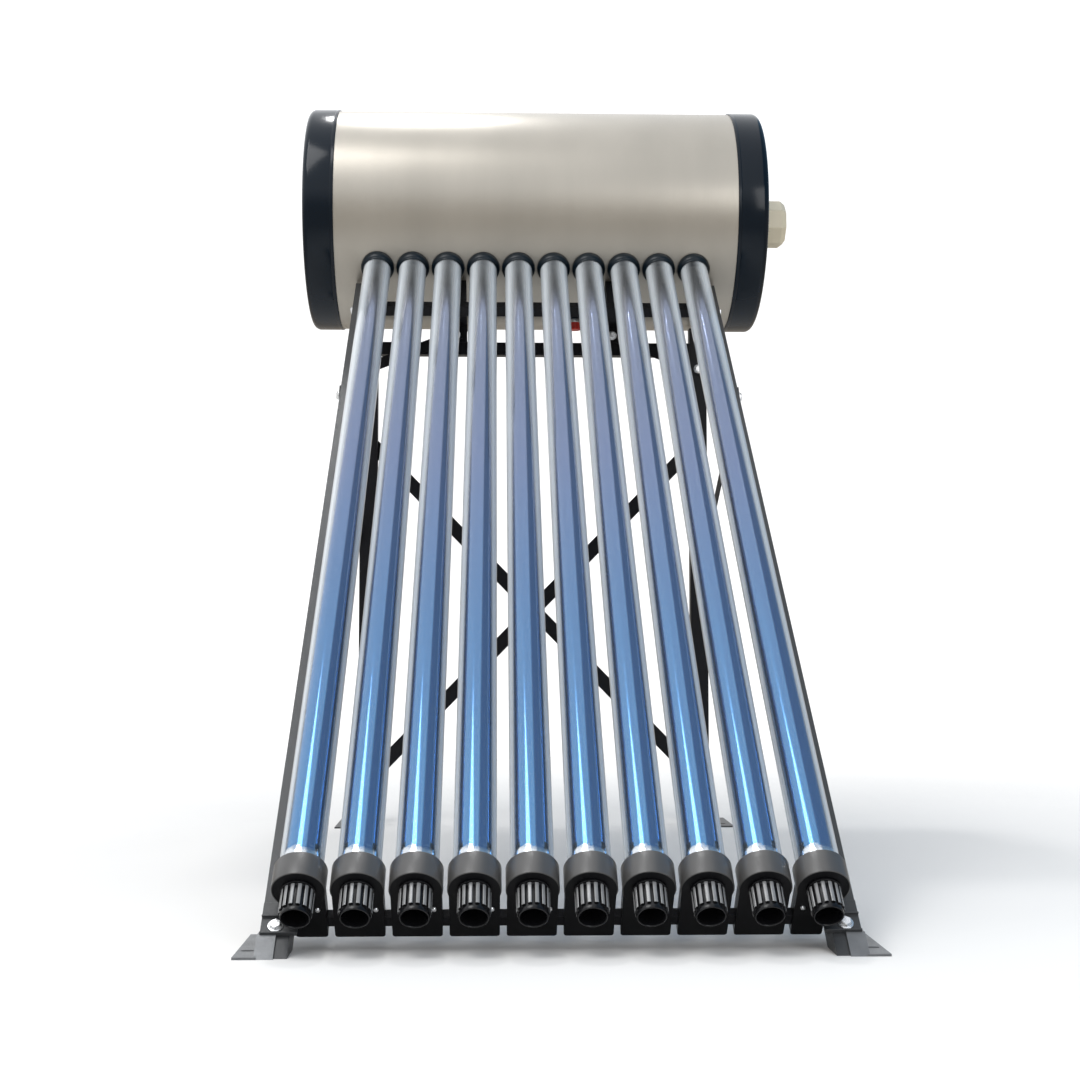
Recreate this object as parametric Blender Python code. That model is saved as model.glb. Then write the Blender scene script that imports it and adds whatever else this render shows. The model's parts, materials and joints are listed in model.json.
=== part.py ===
"""Solar water heater: evacuated tubes hanging between an insulated tank and a rack of screw-in tail cups.

Metres, +Z up. The tank's axis is parallel to X, and the tubes climb towards +Y. The origin is on the
ground, under the middle of the whole heater.
"""

import math

import bmesh
import bpy
from mathutils import Matrix, Vector

GAP = 0.0003  # clearance between pieces that touch

# Evacuated tubes
SLOPE = math.radians(41)
TUBE_COUNT = 10
TUBE_PITCH = 0.075
TUBE_LENGTH = 1.8
TUBE_RADIUS = 0.029
ABSORBER_RADIUS = 0.0235
GLASS_WALL = 0.0016
LIP = 0.004  # glass that joins the two walls at the open end
GETTER_SPACE = 0.010  # vacuum space between the two round ends
NIPPLE_RADIUS = 0.004
NIPPLE_BORE = 0.002
NIPPLE_LENGTH = 0.010
TUBE_STEPS = 12

# Tank
TANK_RADIUS = 0.240
TANK_SHEET = 0.0012
TANK_HALF = 0.495  # middle of the tank to the face of an end cover
COVER_BAND = 0.066
COVER_WALL = 0.0025
COVER_CORNER = 0.014
COVER_DOME = 0.008
PORT_CLEARANCE = 0.002  # round the heater's neck, in the right end cover
INNER_RADIUS = 0.185
INNER_WALL = 0.0015
INNER_HALF = 0.400
HEAD_DEPTH = 0.030
TUBE_END_TO_AXIS = 0.130  # open end of a tube, along the slope
TUBES_ABOVE_AXIS = 0.012  # the tubes' plane passes this far above the tank's axis
TUBE_HOLE = 0.0305
PAST_SHELL = 0.05  # how far a hole's cutter runs on outside the shell
TANK_STEPS = 48
HOLE_STEPS = 12

# Ports
HEATER_NECK = 0.030
HEATER_BUSH_WALL = 0.0035
HEATER_BUSH_LENGTH = 0.042
HEATER_CAP_FLATS = 0.098
HEATER_CAP_LENGTH = 0.064
HEATER_CAP_CHAMFER = 0.010
HEATER_CAP_SIDES = 8
DRAIN_X = 0.089
DRAIN_FORWARD = 0.060  # in front of the tank's axis
DRAIN_RADIUS = 0.0105
DRAIN_BORE = 0.008
DRAIN_STUB_INSIDE = 0.003
DRAIN_BELOW_SHELL = 0.008
DRAIN_PLUG_RADIUS = 0.014
DRAIN_PLUG_LENGTH = 0.016
DRAIN_SPIGOT_LENGTH = 0.010

# Tail rack and cups
COLLAR_HEIGHT = 0.0907  # middle of a collar above the ground
COLLAR_RADIUS = 0.035
COLLAR_LENGTH = 0.037
COLLAR_STEPS = 16
TIP_IN_COLLAR = 0.026  # tube tip below the collar's mouth
TUBE_CLEARANCE = 0.001
THREAD_RADIUS = 0.022
THREAD_CLEARANCE = 0.0004
THREAD_LENGTH = 0.016
HOLDER_WIDTH = 0.066
HOLDER_DEPTH = 0.091  # tube axis to the lower end of a holder
HOLDER_THICKNESS = 0.020
RAIL_SETBACK = 0.003  # behind the holders' lower faces
RAIL_LENGTHWISE = 0.014
RAIL_DEPTH = 0.020
END_PLATE = 0.003
END_PLATE_LENGTH = 0.052
END_PLATE_BELOW = 0.008  # its upper edge below the collars' middle
END_PLATE_OVERLAP = 0.010  # onto the outermost holder
END_FLANGE = 0.007
CUP_RECESS = 0.0185
CUP_WEB = 0.0047
CUP_BORE = 0.017
CUP_NIPPLE_HOLE = 0.006
CUP_NECK_LENGTH = 0.004
RIB_LENGTH = 0.034
RIB_RADIUS = 0.0212
RIB_VALLEY = 0.0198
RIB_COUNT = 10
CUP_RING_RADIUS = 0.0192
CUP_RING_LENGTH = 0.007
REST_RADIUS = 0.018
REST_HOLE = 0.0053
REST_RISE = 0.003  # rubber above the tube tip
REST_UNDER = 0.006  # rubber under the tube tip

# Frame
LEG_OUTER = 0.385  # outer side of every leg, from the middle
LEG_WIDTH = 0.038
LEG_WALL = 0.003
FRONT_LEG_NEAR = 0.037  # tube axis to the upper face of a front leg
FRONT_LEG_DEPTH = 0.038
FRONT_LEG_BELOW_TANK = 0.004
REAR_LEG_DEPTH = 0.028
REAR_LEG_FORWARD = 0.020  # middle of a rear leg in front of the tank's axis
REAR_LEG_BELOW_TANK = 0.008
BAR_SIZE = 0.028
FRONT_BAR_SIZE = 0.022
BAR_WALL = 0.003
REAR_BAR_BELOW_SHELL = 0.054  # middle of the rear bar under the shell
FRONT_BAR_PAST_SHELL = 0.0835  # upper face of the front bar down the slope from the shell
STRAP_THICKNESS = 0.003
STRAP_TAIL = 0.012  # strap past its bolt
CROSS_WIDTH = 0.030
CROSS_LOW = 0.093
CROSS_HIGH = 0.843
SIDE_WIDTH = 0.030
SIDE_LOW = 0.623  # height where a side brace meets the rear leg
SIDE_HIGH = 0.664  # distance down the slope where it meets the front leg
KNEE_WIDTH = 0.024
KNEE_UNDER_BAR = 0.044  # a knee brace's lower bolt under the middle of the rear bar
KNEE_OVER_BAR = 0.030
CRADLE_X = 0.174
CRADLE_WIDTH = 0.050
CRADLE_THICKNESS = 0.004
CRADLE_BACK = math.radians(16)  # how far a cradle follows the shell behind the lowest point
CRADLE_STEPS = 10
FRONT_FOOT_WIDTH = 0.030
REAR_FOOT_WIDTH = 0.042
FOOT_LENGTH = 0.160
FOOT_WALL = 0.003
FOOT_HEIGHT = 0.045
FOOT_TAB_WIDTH = 0.021
REAR_FOOT_FORWARD = 0.090  # front of a rear foot ahead of the leg's middle
SLOT_LENGTH = 0.018
SLOT_WIDTH = 0.010
SLOT_FROM_FRONT = 0.045
SLOT_STEPS = 4  # sides of each round end

# Places worked out from the sizes above. Along the slope, 0 is the tank's axis and down is negative.
TUBE_TIP = -(TUBE_END_TO_AXIS + TUBE_LENGTH)
COLLAR_MOUTH = TUBE_TIP + TIP_IN_COLLAR
COLLAR_FOOT = COLLAR_MOUTH - COLLAR_LENGTH
COLLAR_MIDDLE = (COLLAR_MOUTH + COLLAR_FOOT) / 2
THREAD_TOP = COLLAR_FOOT + THREAD_LENGTH
REST_FOOT = TUBE_TIP - REST_UNDER
CUP_END = COLLAR_FOOT - CUP_NECK_LENGTH - RIB_LENGTH - CUP_RING_LENGTH
AXIS_HEIGHT = COLLAR_HEIGHT - COLLAR_MIDDLE * math.sin(SLOPE) - TUBES_ABOVE_AXIS * math.cos(SLOPE)
COVER_RADIUS = TANK_RADIUS + GAP + COVER_WALL
BAND_RADIUS = TANK_RADIUS + GAP
SHELL_HALF = TANK_HALF - COVER_CORNER
FOAM_RADIUS = TANK_RADIUS - TANK_SHEET - GAP
BUSH_RADIUS = HEATER_NECK + 2 * GAP + HEATER_BUSH_WALL
BUSH_END = INNER_HALF + HEAD_DEPTH + HEATER_BUSH_LENGTH
DRAIN_END = -math.sqrt(TANK_RADIUS**2 - DRAIN_FORWARD**2) - DRAIN_BELOW_SHELL
REAR_BAR_BELOW = TANK_RADIUS + REAR_BAR_BELOW_SHELL
FRONT_BAR_BELOW = TANK_RADIUS + FRONT_BAR_PAST_SHELL
LEG_INNER = LEG_OUTER - LEG_WIDTH
LEG_X = LEG_OUTER - LEG_WIDTH / 2
RACK_HALF = LEG_INNER - GAP
LEFT, RIGHT = -1, 1
SIDES = (("left", LEFT), ("right", RIGHT))


def collector_point(along, below):
    """From the tank's axis, the point at a distance up the slope and a distance below the tubes' plane."""
    below -= TUBES_ABOVE_AXIS
    y = along * math.cos(SLOPE) + below * math.sin(SLOPE)
    z = along * math.sin(SLOPE) - below * math.cos(SLOPE)
    return Vector((0, y, z))


def foremost_y():
    """The front of the whole heater: the upper rim of a tail cup's open end."""
    return collector_point(CUP_END, -CUP_RING_RADIUS).y


def around(radius, steps):
    """The corner radius of a hole with this many sides, so that a rod of the given radius still fits."""
    return radius / math.cos(math.pi / steps)


def tube_x(index):
    return (index - (TUBE_COUNT - 1) / 2) * TUBE_PITCH


def clear_scene():
    for existing in list(bpy.data.objects):
        bpy.data.objects.remove(existing)


def material(name, colour, roughness, metallic=0.0, alpha=1.0):
    made = bpy.data.materials.new(name)
    made.use_nodes = True
    shader = made.node_tree.nodes["Principled BSDF"]
    shader.inputs["Base Color"].default_value = (*colour, 1.0)
    shader.inputs["Roughness"].default_value = roughness
    shader.inputs["Metallic"].default_value = metallic
    shader.inputs["Alpha"].default_value = alpha
    return made


def empty(name, parent=None, location=(0, 0, 0), rotation=(0, 0, 0)):
    made = bpy.data.objects.new(name, None)
    bpy.context.scene.collection.objects.link(made)
    made.parent = parent
    made.location = location
    made.rotation_euler = rotation
    return made


def place(name, mesh, surface, parent, location=(0, 0, 0), rotation=(0, 0, 0)):
    made = bpy.data.objects.new(name, mesh)
    bpy.context.scene.collection.objects.link(made)
    made.parent = parent
    made.location = location
    made.rotation_euler = rotation
    if surface and not mesh.materials:
        mesh.materials.append(surface)
    return made


def mesh_from(name, shape, smooth_below=35):
    """The finished mesh of a bmesh, with its faces turned outwards and its round parts shaded smooth."""
    bmesh.ops.recalc_face_normals(shape, faces=shape.faces)
    mesh = bpy.data.meshes.new(name)
    shape.to_mesh(mesh)
    shape.free()
    mesh.shade_smooth()
    mesh.set_sharp_from_angle(angle=math.radians(smooth_below))
    return mesh


def spin_profile(shape, profile, steps, offset=(0, 0, 0)):
    """Turns (radius, height) points about Z. A profile that starts on the axis also ends on it."""
    points = [shape.verts.new((radius, 0, height)) for radius, height in profile]
    edges = [shape.edges.new(pair) for pair in zip(points, points[1:])]
    if profile[0][0] > 0:
        edges.append(shape.edges.new((points[-1], points[0])))
    before = set(shape.verts) - set(points)
    bmesh.ops.spin(
        shape, geom=points + edges, cent=(0, 0, 0), axis=(0, 0, 1),
        angle=2 * math.pi, steps=steps, use_merge=True,
    )
    made = [vertex for vertex in shape.verts if vertex not in before]
    bmesh.ops.remove_doubles(shape, verts=made, dist=1e-7)
    made = [vertex for vertex in shape.verts if vertex not in before]
    bmesh.ops.translate(shape, vec=offset, verts=made)
    return made


def turned_mesh(name, profile, steps):
    shape = bmesh.new()
    spin_profile(shape, profile, steps)
    return mesh_from(name, shape)


def add_box(shape, low, high):
    """Adds a closed box between two corners."""
    size = Vector(high) - Vector(low)
    middle = (Vector(high) + Vector(low)) / 2
    matrix = Matrix.Translation(middle) @ Matrix.Diagonal((*size, 1))
    bmesh.ops.create_cube(shape, size=1, matrix=matrix)


def along_z(a, b, run):
    return (a, b, run)


def along_x(a, b, run):
    return (run, a, b)


def add_prism(shape, outline, low, high, order=along_z):
    """Draws an outline out from low to high. Each is a number, or a function that gives one at (a, b)."""
    rings = []
    for end in (low, high):
        runs = [end(a, b) if callable(end) else end for a, b in outline]
        rings.append([shape.verts.new(order(a, b, run)) for (a, b), run in zip(outline, runs)])
    for ring in rings:
        shape.faces.new(ring)
    for i in range(len(outline)):
        shape.faces.new((rings[0][i - 1], rings[0][i], rings[1][i], rings[1][i - 1]))


def prism_mesh(name, outline, low, high, order=along_z):
    shape = bmesh.new()
    add_prism(shape, outline, low, high, order)
    return mesh_from(name, shape)


def box_mesh(name, low, high):
    shape = bmesh.new()
    add_box(shape, low, high)
    return mesh_from(name, shape)


def channel_outline(width, depth, wall):
    """A U section centred on X, with its back at y = 0 and its two legs towards +Y."""
    half = width / 2
    inner = half - wall
    return [
        (-half, 0), (half, 0), (half, depth), (inner, depth),
        (inner, wall), (-inner, wall), (-inner, depth), (-half, depth),
    ]


def cutter(name, mesh, parent, location=(0, 0, 0), rotation=(0, 0, 0)):
    made = place(name, mesh, None, parent, location, rotation)
    made.hide_render = True
    made.display_type = "WIRE"
    return made


def boolean(target, operation, other):
    modifier = target.modifiers.new(f"{operation.lower()}_{other.name}", "BOOLEAN")
    modifier.operation = operation
    modifier.solver = "EXACT"
    modifier.object = other


def arc(radius, centre, start, end, steps):
    """(radius, height) points of a dome's quarter circle, from one angle above the equator to another."""
    angles = [start + (end - start) * i / steps for i in range(steps + 1)]
    return [(radius * math.cos(angle), centre + radius * math.sin(angle)) for angle in angles]


def dome_angle(radius, at):
    """The angle below the equator at which a dome of this radius is at a distance from its axis."""
    return -math.acos(at / radius)


def evacuated_tube_mesh():
    """Two glass walls joined at the open end. The vacuum space stays open through the pumping nipple."""
    outer_centre = TUBE_TIP + TUBE_RADIUS
    inner_centre = outer_centre + GETTER_SPACE
    open_end = -TUBE_END_TO_AXIS
    outside_inner = TUBE_RADIUS - GLASS_WALL
    inside = ABSORBER_RADIUS - GLASS_WALL
    down = -math.pi / 2
    profile = [(0, inner_centre - ABSORBER_RADIUS)]
    profile += arc(ABSORBER_RADIUS, inner_centre, down, 0, 3)[1:]
    profile += [(ABSORBER_RADIUS, open_end - LIP), (outside_inner, open_end - LIP)]
    profile += arc(outside_inner, outer_centre, 0, dome_angle(outside_inner, NIPPLE_BORE), 3)
    profile += [(NIPPLE_BORE, TUBE_TIP - NIPPLE_LENGTH), (NIPPLE_RADIUS, TUBE_TIP - NIPPLE_LENGTH)]
    profile += arc(TUBE_RADIUS, outer_centre, dome_angle(TUBE_RADIUS, NIPPLE_RADIUS), 0, 3)
    profile += [(TUBE_RADIUS, open_end), (inside, open_end)]
    profile += arc(inside, inner_centre, 0, down, 2)[:-1]
    profile += [(0, inner_centre - inside)]
    return turned_mesh("evacuated_tube", profile, TUBE_STEPS)


def tube_rest_mesh():
    """A rubber ring whose dished top carries the tube's round end, with a hole for the nipple."""
    centre = TUBE_TIP + TUBE_RADIUS
    dish = TUBE_RADIUS + GAP
    top = TUBE_TIP + REST_RISE
    mouth = math.sqrt(dish**2 - (centre - top) ** 2)
    start, end = dome_angle(dish, mouth), dome_angle(dish, REST_HOLE)
    profile = arc(dish, centre, start, end, 2)
    profile += [(REST_HOLE, REST_FOOT), (REST_RADIUS, REST_FOOT), (REST_RADIUS, top)]
    return turned_mesh("tube_rest", profile, TUBE_STEPS)


def tail_cup_mesh():
    """A screw cup: thread on top, a recess for the rubber rest, a ribbed grip and an open lower end."""
    recess_floor = REST_FOOT - GAP
    web_foot = recess_floor - CUP_WEB
    neck_foot = COLLAR_FOOT - CUP_NECK_LENGTH
    rib_foot = neck_foot - RIB_LENGTH
    profile = [
        (CUP_RECESS, THREAD_TOP), (THREAD_RADIUS, THREAD_TOP), (THREAD_RADIUS, neck_foot),
        (RIB_RADIUS, neck_foot), (RIB_RADIUS, rib_foot), (CUP_RING_RADIUS, rib_foot),
        (CUP_RING_RADIUS, CUP_END), (CUP_BORE, CUP_END), (CUP_BORE, web_foot),
        (CUP_NIPPLE_HOLE, web_foot), (CUP_NIPPLE_HOLE, recess_floor), (CUP_RECESS, recess_floor),
    ]
    shape = bmesh.new()
    spin_profile(shape, profile, 2 * RIB_COUNT)
    step = math.pi / RIB_COUNT
    for vertex in shape.verts:
        radius = math.hypot(vertex.co.x, vertex.co.y)
        column = round(math.atan2(vertex.co.y, vertex.co.x) / step)
        if abs(radius - RIB_RADIUS) < 1e-5 and column % 2:
            vertex.co.xy *= RIB_VALLEY / RIB_RADIUS
    return mesh_from("tail_cup", shape)


def repeat_along_x(name, profile, steps, locations):
    """One mesh with a turned shape at each (x, y, z)."""
    shape = bmesh.new()
    for location in locations:
        spin_profile(shape, profile, steps, location)
    return mesh_from(name, shape)


def holder_bores_mesh():
    """The stepped hole of every holder: wide for the tube, then narrow for the cup's thread."""
    bore = around(TUBE_RADIUS + TUBE_CLEARANCE, COLLAR_STEPS)
    thread = around(THREAD_RADIUS + THREAD_CLEARANCE, COLLAR_STEPS)
    past = TUBE_CLEARANCE  # beyond both ends of the holder
    ledge = THREAD_TOP + GAP
    profile = [
        (0, COLLAR_MOUTH + past), (bore, COLLAR_MOUTH + past), (bore, ledge),
        (thread, ledge), (thread, COLLAR_FOOT - past), (0, COLLAR_FOOT - past),
    ]
    places = [(tube_x(i), 0, 0) for i in range(TUBE_COUNT)]
    return repeat_along_x("holder_bores", profile, COLLAR_STEPS, places)


def collars_mesh():
    radius = COLLAR_RADIUS
    profile = [(0, COLLAR_MOUTH), (radius, COLLAR_MOUTH), (radius, COLLAR_FOOT), (0, COLLAR_FOOT)]
    places = [(tube_x(i), 0, 0) for i in range(TUBE_COUNT)]
    return repeat_along_x("collars", profile, COLLAR_STEPS, places)


def holder_blocks_mesh():
    """The flat lower part of each holder. The outermost two stop short of the front legs."""
    shape = bmesh.new()
    for i in range(TUBE_COUNT):
        low_x = max(tube_x(i) - HOLDER_WIDTH / 2, -RACK_HALF)
        high_x = min(tube_x(i) + HOLDER_WIDTH / 2, RACK_HALF)
        add_box(shape, (low_x, 0, COLLAR_FOOT), (high_x, HOLDER_DEPTH, COLLAR_FOOT + HOLDER_THICKNESS))
    return mesh_from("holder_blocks", shape)


def rail_mesh():
    foot = COLLAR_FOOT + RAIL_SETBACK
    low = (-RACK_HALF, HOLDER_DEPTH - RAIL_SETBACK / 2 - RAIL_DEPTH, foot)
    high = (RACK_HALF, HOLDER_DEPTH - RAIL_SETBACK / 2, foot + RAIL_LENGTHWISE)
    return box_mesh("rail", low, high)


def rack_ends_mesh():
    """A flanged plate at each end of the rack, lying on the front leg's upper face."""
    shape = bmesh.new()
    far = FRONT_LEG_NEAR - GAP
    near = far - END_PLATE
    rim = far - END_FLANGE
    top = COLLAR_MIDDLE - END_PLATE_BELOW
    foot = top - END_PLATE_LENGTH
    outline = [
        (far, foot), (far, top), (rim, top), (rim, top - END_PLATE),
        (near, top - END_PLATE), (near, foot + END_PLATE), (rim, foot + END_PLATE), (rim, foot),
    ]
    for _, side in SIDES:
        ends = sorted((side * (LEG_INNER - END_PLATE_OVERLAP), side * LEG_OUTER))
        add_prism(shape, outline, ends[0], ends[1], along_x)
    return mesh_from("rack_ends", shape)


def make_tail_rack(collector, helpers, surface):
    """The rail with its ten moulded holders and its two end plates, as one body."""
    rack = place("tail_rack", rail_mesh(), surface, collector)
    for mesh in (holder_blocks_mesh(), collars_mesh(), rack_ends_mesh()):
        boolean(rack, "UNION", cutter(mesh.name, mesh, helpers))
    boolean(rack, "DIFFERENCE", cutter("holder_bores", holder_bores_mesh(), helpers))


def make_tubes(collector, glass, rubber, plastic):
    tube, rest, cup = evacuated_tube_mesh(), tube_rest_mesh(), tail_cup_mesh()
    for i in range(TUBE_COUNT):
        axis = empty(f"tube_axis_{i + 1:02}", collector, (tube_x(i), 0, 0))
        place(f"evacuated_tube_{i + 1:02}", tube, glass, axis)
        place(f"tube_rest_{i + 1:02}", rest, rubber, axis)
        place(f"tail_cup_{i + 1:02}", cup, plastic, axis)


def tube_holes(helpers, name, radius):
    """A rod through the front of the tank for each tube, with its flats clear of the given radius."""
    radius = around(radius, HOLE_STEPS)
    outside = -TANK_RADIUS - PAST_SHELL
    inside = -INNER_RADIUS / 2
    profile = [(0, inside), (radius, inside), (radius, outside), (0, outside)]
    places = [(tube_x(i), 0, 0) for i in range(TUBE_COUNT)]
    return cutter(name, repeat_along_x(name, profile, HOLE_STEPS, places), helpers)


def drain_hole(axis, name, radius):
    radius = around(radius, HOLE_STEPS)
    outside = -TANK_RADIUS - PAST_SHELL
    profile = [(0, 0), (radius, 0), (radius, outside), (0, outside)]
    return cutter(name, turned_mesh(name, profile, HOLE_STEPS), axis, (DRAIN_X, -DRAIN_FORWARD, 0))


def head_arc(radius, half, side, steps=2):
    """(radius, height) points of a shallow head from the cylinder's rim towards the axis."""
    points = []
    for i in range(1, steps + 1):
        angle = math.pi / 2 * i / (steps + 1)
        points.append((radius * math.cos(angle), side * (half + HEAD_DEPTH * math.sin(angle))))
    return points


def inner_tank_mesh():
    """A welded vessel with shallow heads. The heater's bush is part of its right head."""
    outer, inner = INNER_RADIUS, INNER_RADIUS - INNER_WALL
    half, inner_half = INNER_HALF, INNER_HALF - INNER_WALL
    head = INNER_HALF + HEAD_DEPTH
    bush_bore = HEATER_NECK + 2 * GAP
    profile = [(0, -head)] + head_arc(outer, half, LEFT)[::-1] + [(outer, -half), (outer, half)]
    profile += head_arc(outer, half, RIGHT)
    profile += [(BUSH_RADIUS, head), (BUSH_RADIUS, BUSH_END)]
    profile += [(bush_bore, BUSH_END), (bush_bore, head - INNER_WALL)]
    profile += head_arc(inner, inner_half, RIGHT)[::-1] + [(inner, inner_half), (inner, -inner_half)]
    profile += head_arc(inner, inner_half, LEFT) + [(0, -(head - INNER_WALL))]
    return turned_mesh("inner_tank", profile, TANK_STEPS // 2)


def drain_stub_mesh():
    """The drain pipe: a tube from just inside the vessel's wall to below the shell."""
    inside = INNER_RADIUS - INNER_WALL
    top = -math.sqrt(inside**2 - (DRAIN_FORWARD + DRAIN_RADIUS) ** 2) + DRAIN_STUB_INSIDE
    profile = [(DRAIN_BORE, top), (DRAIN_RADIUS, top), (DRAIN_RADIUS, DRAIN_END), (DRAIN_BORE, DRAIN_END)]
    return turned_mesh("drain_stub", profile, HOLE_STEPS)


def make_inner_tank(axis, helpers, surface):
    turn = (0, math.pi / 2, 0)
    vessel = place("inner_tank", inner_tank_mesh(), surface, axis, rotation=turn)
    boolean(vessel, "DIFFERENCE", tube_holes(helpers, "vessel_tube_holes", TUBE_RADIUS + TUBE_CLEARANCE))
    boolean(vessel, "DIFFERENCE", drain_hole(axis, "vessel_drain_hole", DRAIN_BORE + GAP))
    boolean(vessel, "UNION", cutter("drain_stub", drain_stub_mesh(), axis, (DRAIN_X, -DRAIN_FORWARD, 0)))


def foam_cavity_mesh():
    """The room for the inner tank and its bush, a little larger than they are."""
    half = INNER_HALF + GAP
    radius = INNER_RADIUS + GAP
    bush = BUSH_RADIUS + GAP
    head = INNER_HALF + HEAD_DEPTH + GAP
    profile = [(0, -head)] + head_arc(radius, half, LEFT)[::-1] + [(radius, -half), (radius, half)]
    profile += head_arc(radius, half, RIGHT) + [(bush, head), (bush, TANK_HALF), (0, TANK_HALF)]
    return turned_mesh("foam_cavity", profile, TANK_STEPS // 2)


def make_foam(axis, helpers, surface):
    turn = (0, math.pi / 2, 0)
    half = SHELL_HALF - GAP
    profile = [(0, -half), (FOAM_RADIUS, -half), (FOAM_RADIUS, half), (0, half)]
    mesh = turned_mesh("insulation_foam", profile, TANK_STEPS // 2)
    foam = place("insulation_foam", mesh, surface, axis, rotation=turn)
    boolean(foam, "DIFFERENCE", cutter("foam_cavity", foam_cavity_mesh(), axis, rotation=turn))
    boolean(foam, "DIFFERENCE", tube_holes(helpers, "foam_tube_holes", TUBE_HOLE))
    boolean(foam, "DIFFERENCE", drain_hole(axis, "foam_drain_hole", DRAIN_RADIUS + GAP))


def make_shell(axis, helpers, surface):
    turn = (0, math.pi / 2, 0)
    inner = TANK_RADIUS - TANK_SHEET
    outer, half = TANK_RADIUS, SHELL_HALF
    profile = [(inner, -half), (outer, -half), (outer, half), (inner, half)]
    mesh = turned_mesh("tank_shell", profile, TANK_STEPS)
    shell = place("tank_shell", mesh, surface, axis, rotation=turn)
    boolean(shell, "DIFFERENCE", tube_holes(helpers, "shell_tube_holes", TUBE_HOLE))
    boolean(shell, "DIFFERENCE", drain_hole(axis, "shell_drain_hole", DRAIN_RADIUS + GAP))


def end_cover_mesh(name, hole):
    """A shallow lid over the end of the shell, with a rounded corner and a slightly domed face."""
    corner = COVER_CORNER - COVER_WALL
    inner_half = TANK_HALF - COVER_WALL
    band_start = TANK_HALF - COVER_BAND
    outer_corner = arc(COVER_CORNER, TANK_HALF - COVER_CORNER, 0, math.pi / 2, 3)
    inner_corner = arc(corner, inner_half - corner, 0, math.pi / 2, 2)
    shift_outer = COVER_RADIUS - COVER_CORNER
    shift_inner = BAND_RADIUS - corner
    profile = [(BAND_RADIUS, band_start), (COVER_RADIUS, band_start)]
    profile += [(radius + shift_outer, height) for radius, height in outer_corner]
    domed = [(hole, TANK_HALF + COVER_DOME), (hole, inner_half + COVER_DOME)]
    inside = [(radius + shift_inner, height) for radius, height in inner_corner[::-1]]
    profile = domed[1:] + inside + profile + domed[:1]
    return turned_mesh(name, profile, TANK_STEPS)


def make_end_covers(axis, surface):
    left = end_cover_mesh("end_cover_left", 0)
    right = end_cover_mesh("end_cover_right", HEATER_NECK + PORT_CLEARANCE)
    place("end_cover_left", left, surface, axis, rotation=(0, -math.pi / 2, 0))
    place("end_cover_right", right, surface, axis, rotation=(0, math.pi / 2, 0))


def heater_cap_mesh():
    """An eight-sided cap with a chamfered outer end."""
    shape = bmesh.new()
    start = TANK_HALF + COVER_DOME + GAP
    end = start + HEATER_CAP_LENGTH
    corner = HEATER_CAP_FLATS / 2 / math.cos(math.pi / HEATER_CAP_SIDES)
    profile = [
        (0, start), (corner, start), (corner, end - HEATER_CAP_CHAMFER),
        (corner - HEATER_CAP_CHAMFER, end), (0, end),
    ]
    made = spin_profile(shape, profile, HEATER_CAP_SIDES)
    flat_on_top = Matrix.Rotation(math.pi / HEATER_CAP_SIDES, 3, "Z")
    bmesh.ops.rotate(shape, verts=made, cent=(0, 0, 0), matrix=flat_on_top)
    return mesh_from("heater_cap", shape)


def make_heater_cap(axis, surface):
    turn = (0, math.pi / 2, 0)
    cap = place("heater_cap", heater_cap_mesh(), surface, axis, rotation=turn)
    neck_start = BUSH_END - HEATER_BUSH_LENGTH / 2
    neck_end = TANK_HALF + COVER_DOME + HEATER_CAP_LENGTH / 2
    profile = [(0, neck_start), (HEATER_NECK, neck_start), (HEATER_NECK, neck_end), (0, neck_end)]
    neck = cutter("heater_neck", turned_mesh("heater_neck", profile, TUBE_STEPS), axis, rotation=turn)
    boolean(cap, "UNION", neck)


def make_drain_plug(axis, surface):
    """A cap under the drain pipe, with a short spigot inside it."""
    top = DRAIN_END - GAP
    foot = top - DRAIN_PLUG_LENGTH
    spigot = DRAIN_BORE - GAP
    profile = [
        (0, top + DRAIN_SPIGOT_LENGTH), (spigot, top + DRAIN_SPIGOT_LENGTH), (spigot, top),
        (DRAIN_PLUG_RADIUS, top), (DRAIN_PLUG_RADIUS, foot), (0, foot),
    ]
    plug = turned_mesh("drain_plug", profile, HOLE_STEPS)
    place("drain_plug", plug, surface, axis, (DRAIN_X, -DRAIN_FORWARD, 0))


def ground_line(_, below):
    """Where the ground cuts a line that runs along the slope, this far below the tubes."""
    return ((below - TUBES_ABOVE_AXIS) * math.cos(SLOPE) - AXIS_HEIGHT) / math.sin(SLOPE)


def make_front_legs(collector, surface):
    """Channels under the outer tubes, cut level where they stand on the ground."""
    top = -(TANK_RADIUS + FRONT_LEG_BELOW_TANK)
    outline = [(x, y + FRONT_LEG_NEAR) for x, y in channel_outline(LEG_WIDTH, FRONT_LEG_DEPTH, LEG_WALL)]
    mesh = prism_mesh("front_leg", outline, ground_line, top)
    for name, side in SIDES:
        place(f"front_leg_{name}", mesh, surface, collector, (side * LEG_X, 0, 0))


def rear_leg_front():
    """The front face of the rear legs and of the rear bar, from the tank's axis."""
    return -REAR_LEG_FORWARD - REAR_LEG_DEPTH / 2


def make_rear_legs(axis, surface):
    """Upright channels, open to the back, that end just under the shell."""
    outline = [(x, y - REAR_LEG_DEPTH / 2) for x, y in channel_outline(LEG_WIDTH, REAR_LEG_DEPTH, LEG_WALL)]
    top = -math.sqrt((TANK_RADIUS + REAR_LEG_BELOW_TANK) ** 2 - rear_leg_front() ** 2)
    mesh = prism_mesh("rear_leg", outline, -AXIS_HEIGHT, min(top, -TANK_RADIUS - GAP))
    for name, side in SIDES:
        place(f"rear_leg_{name}", mesh, surface, axis, (side * LEG_X, -REAR_LEG_FORWARD, 0))


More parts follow.
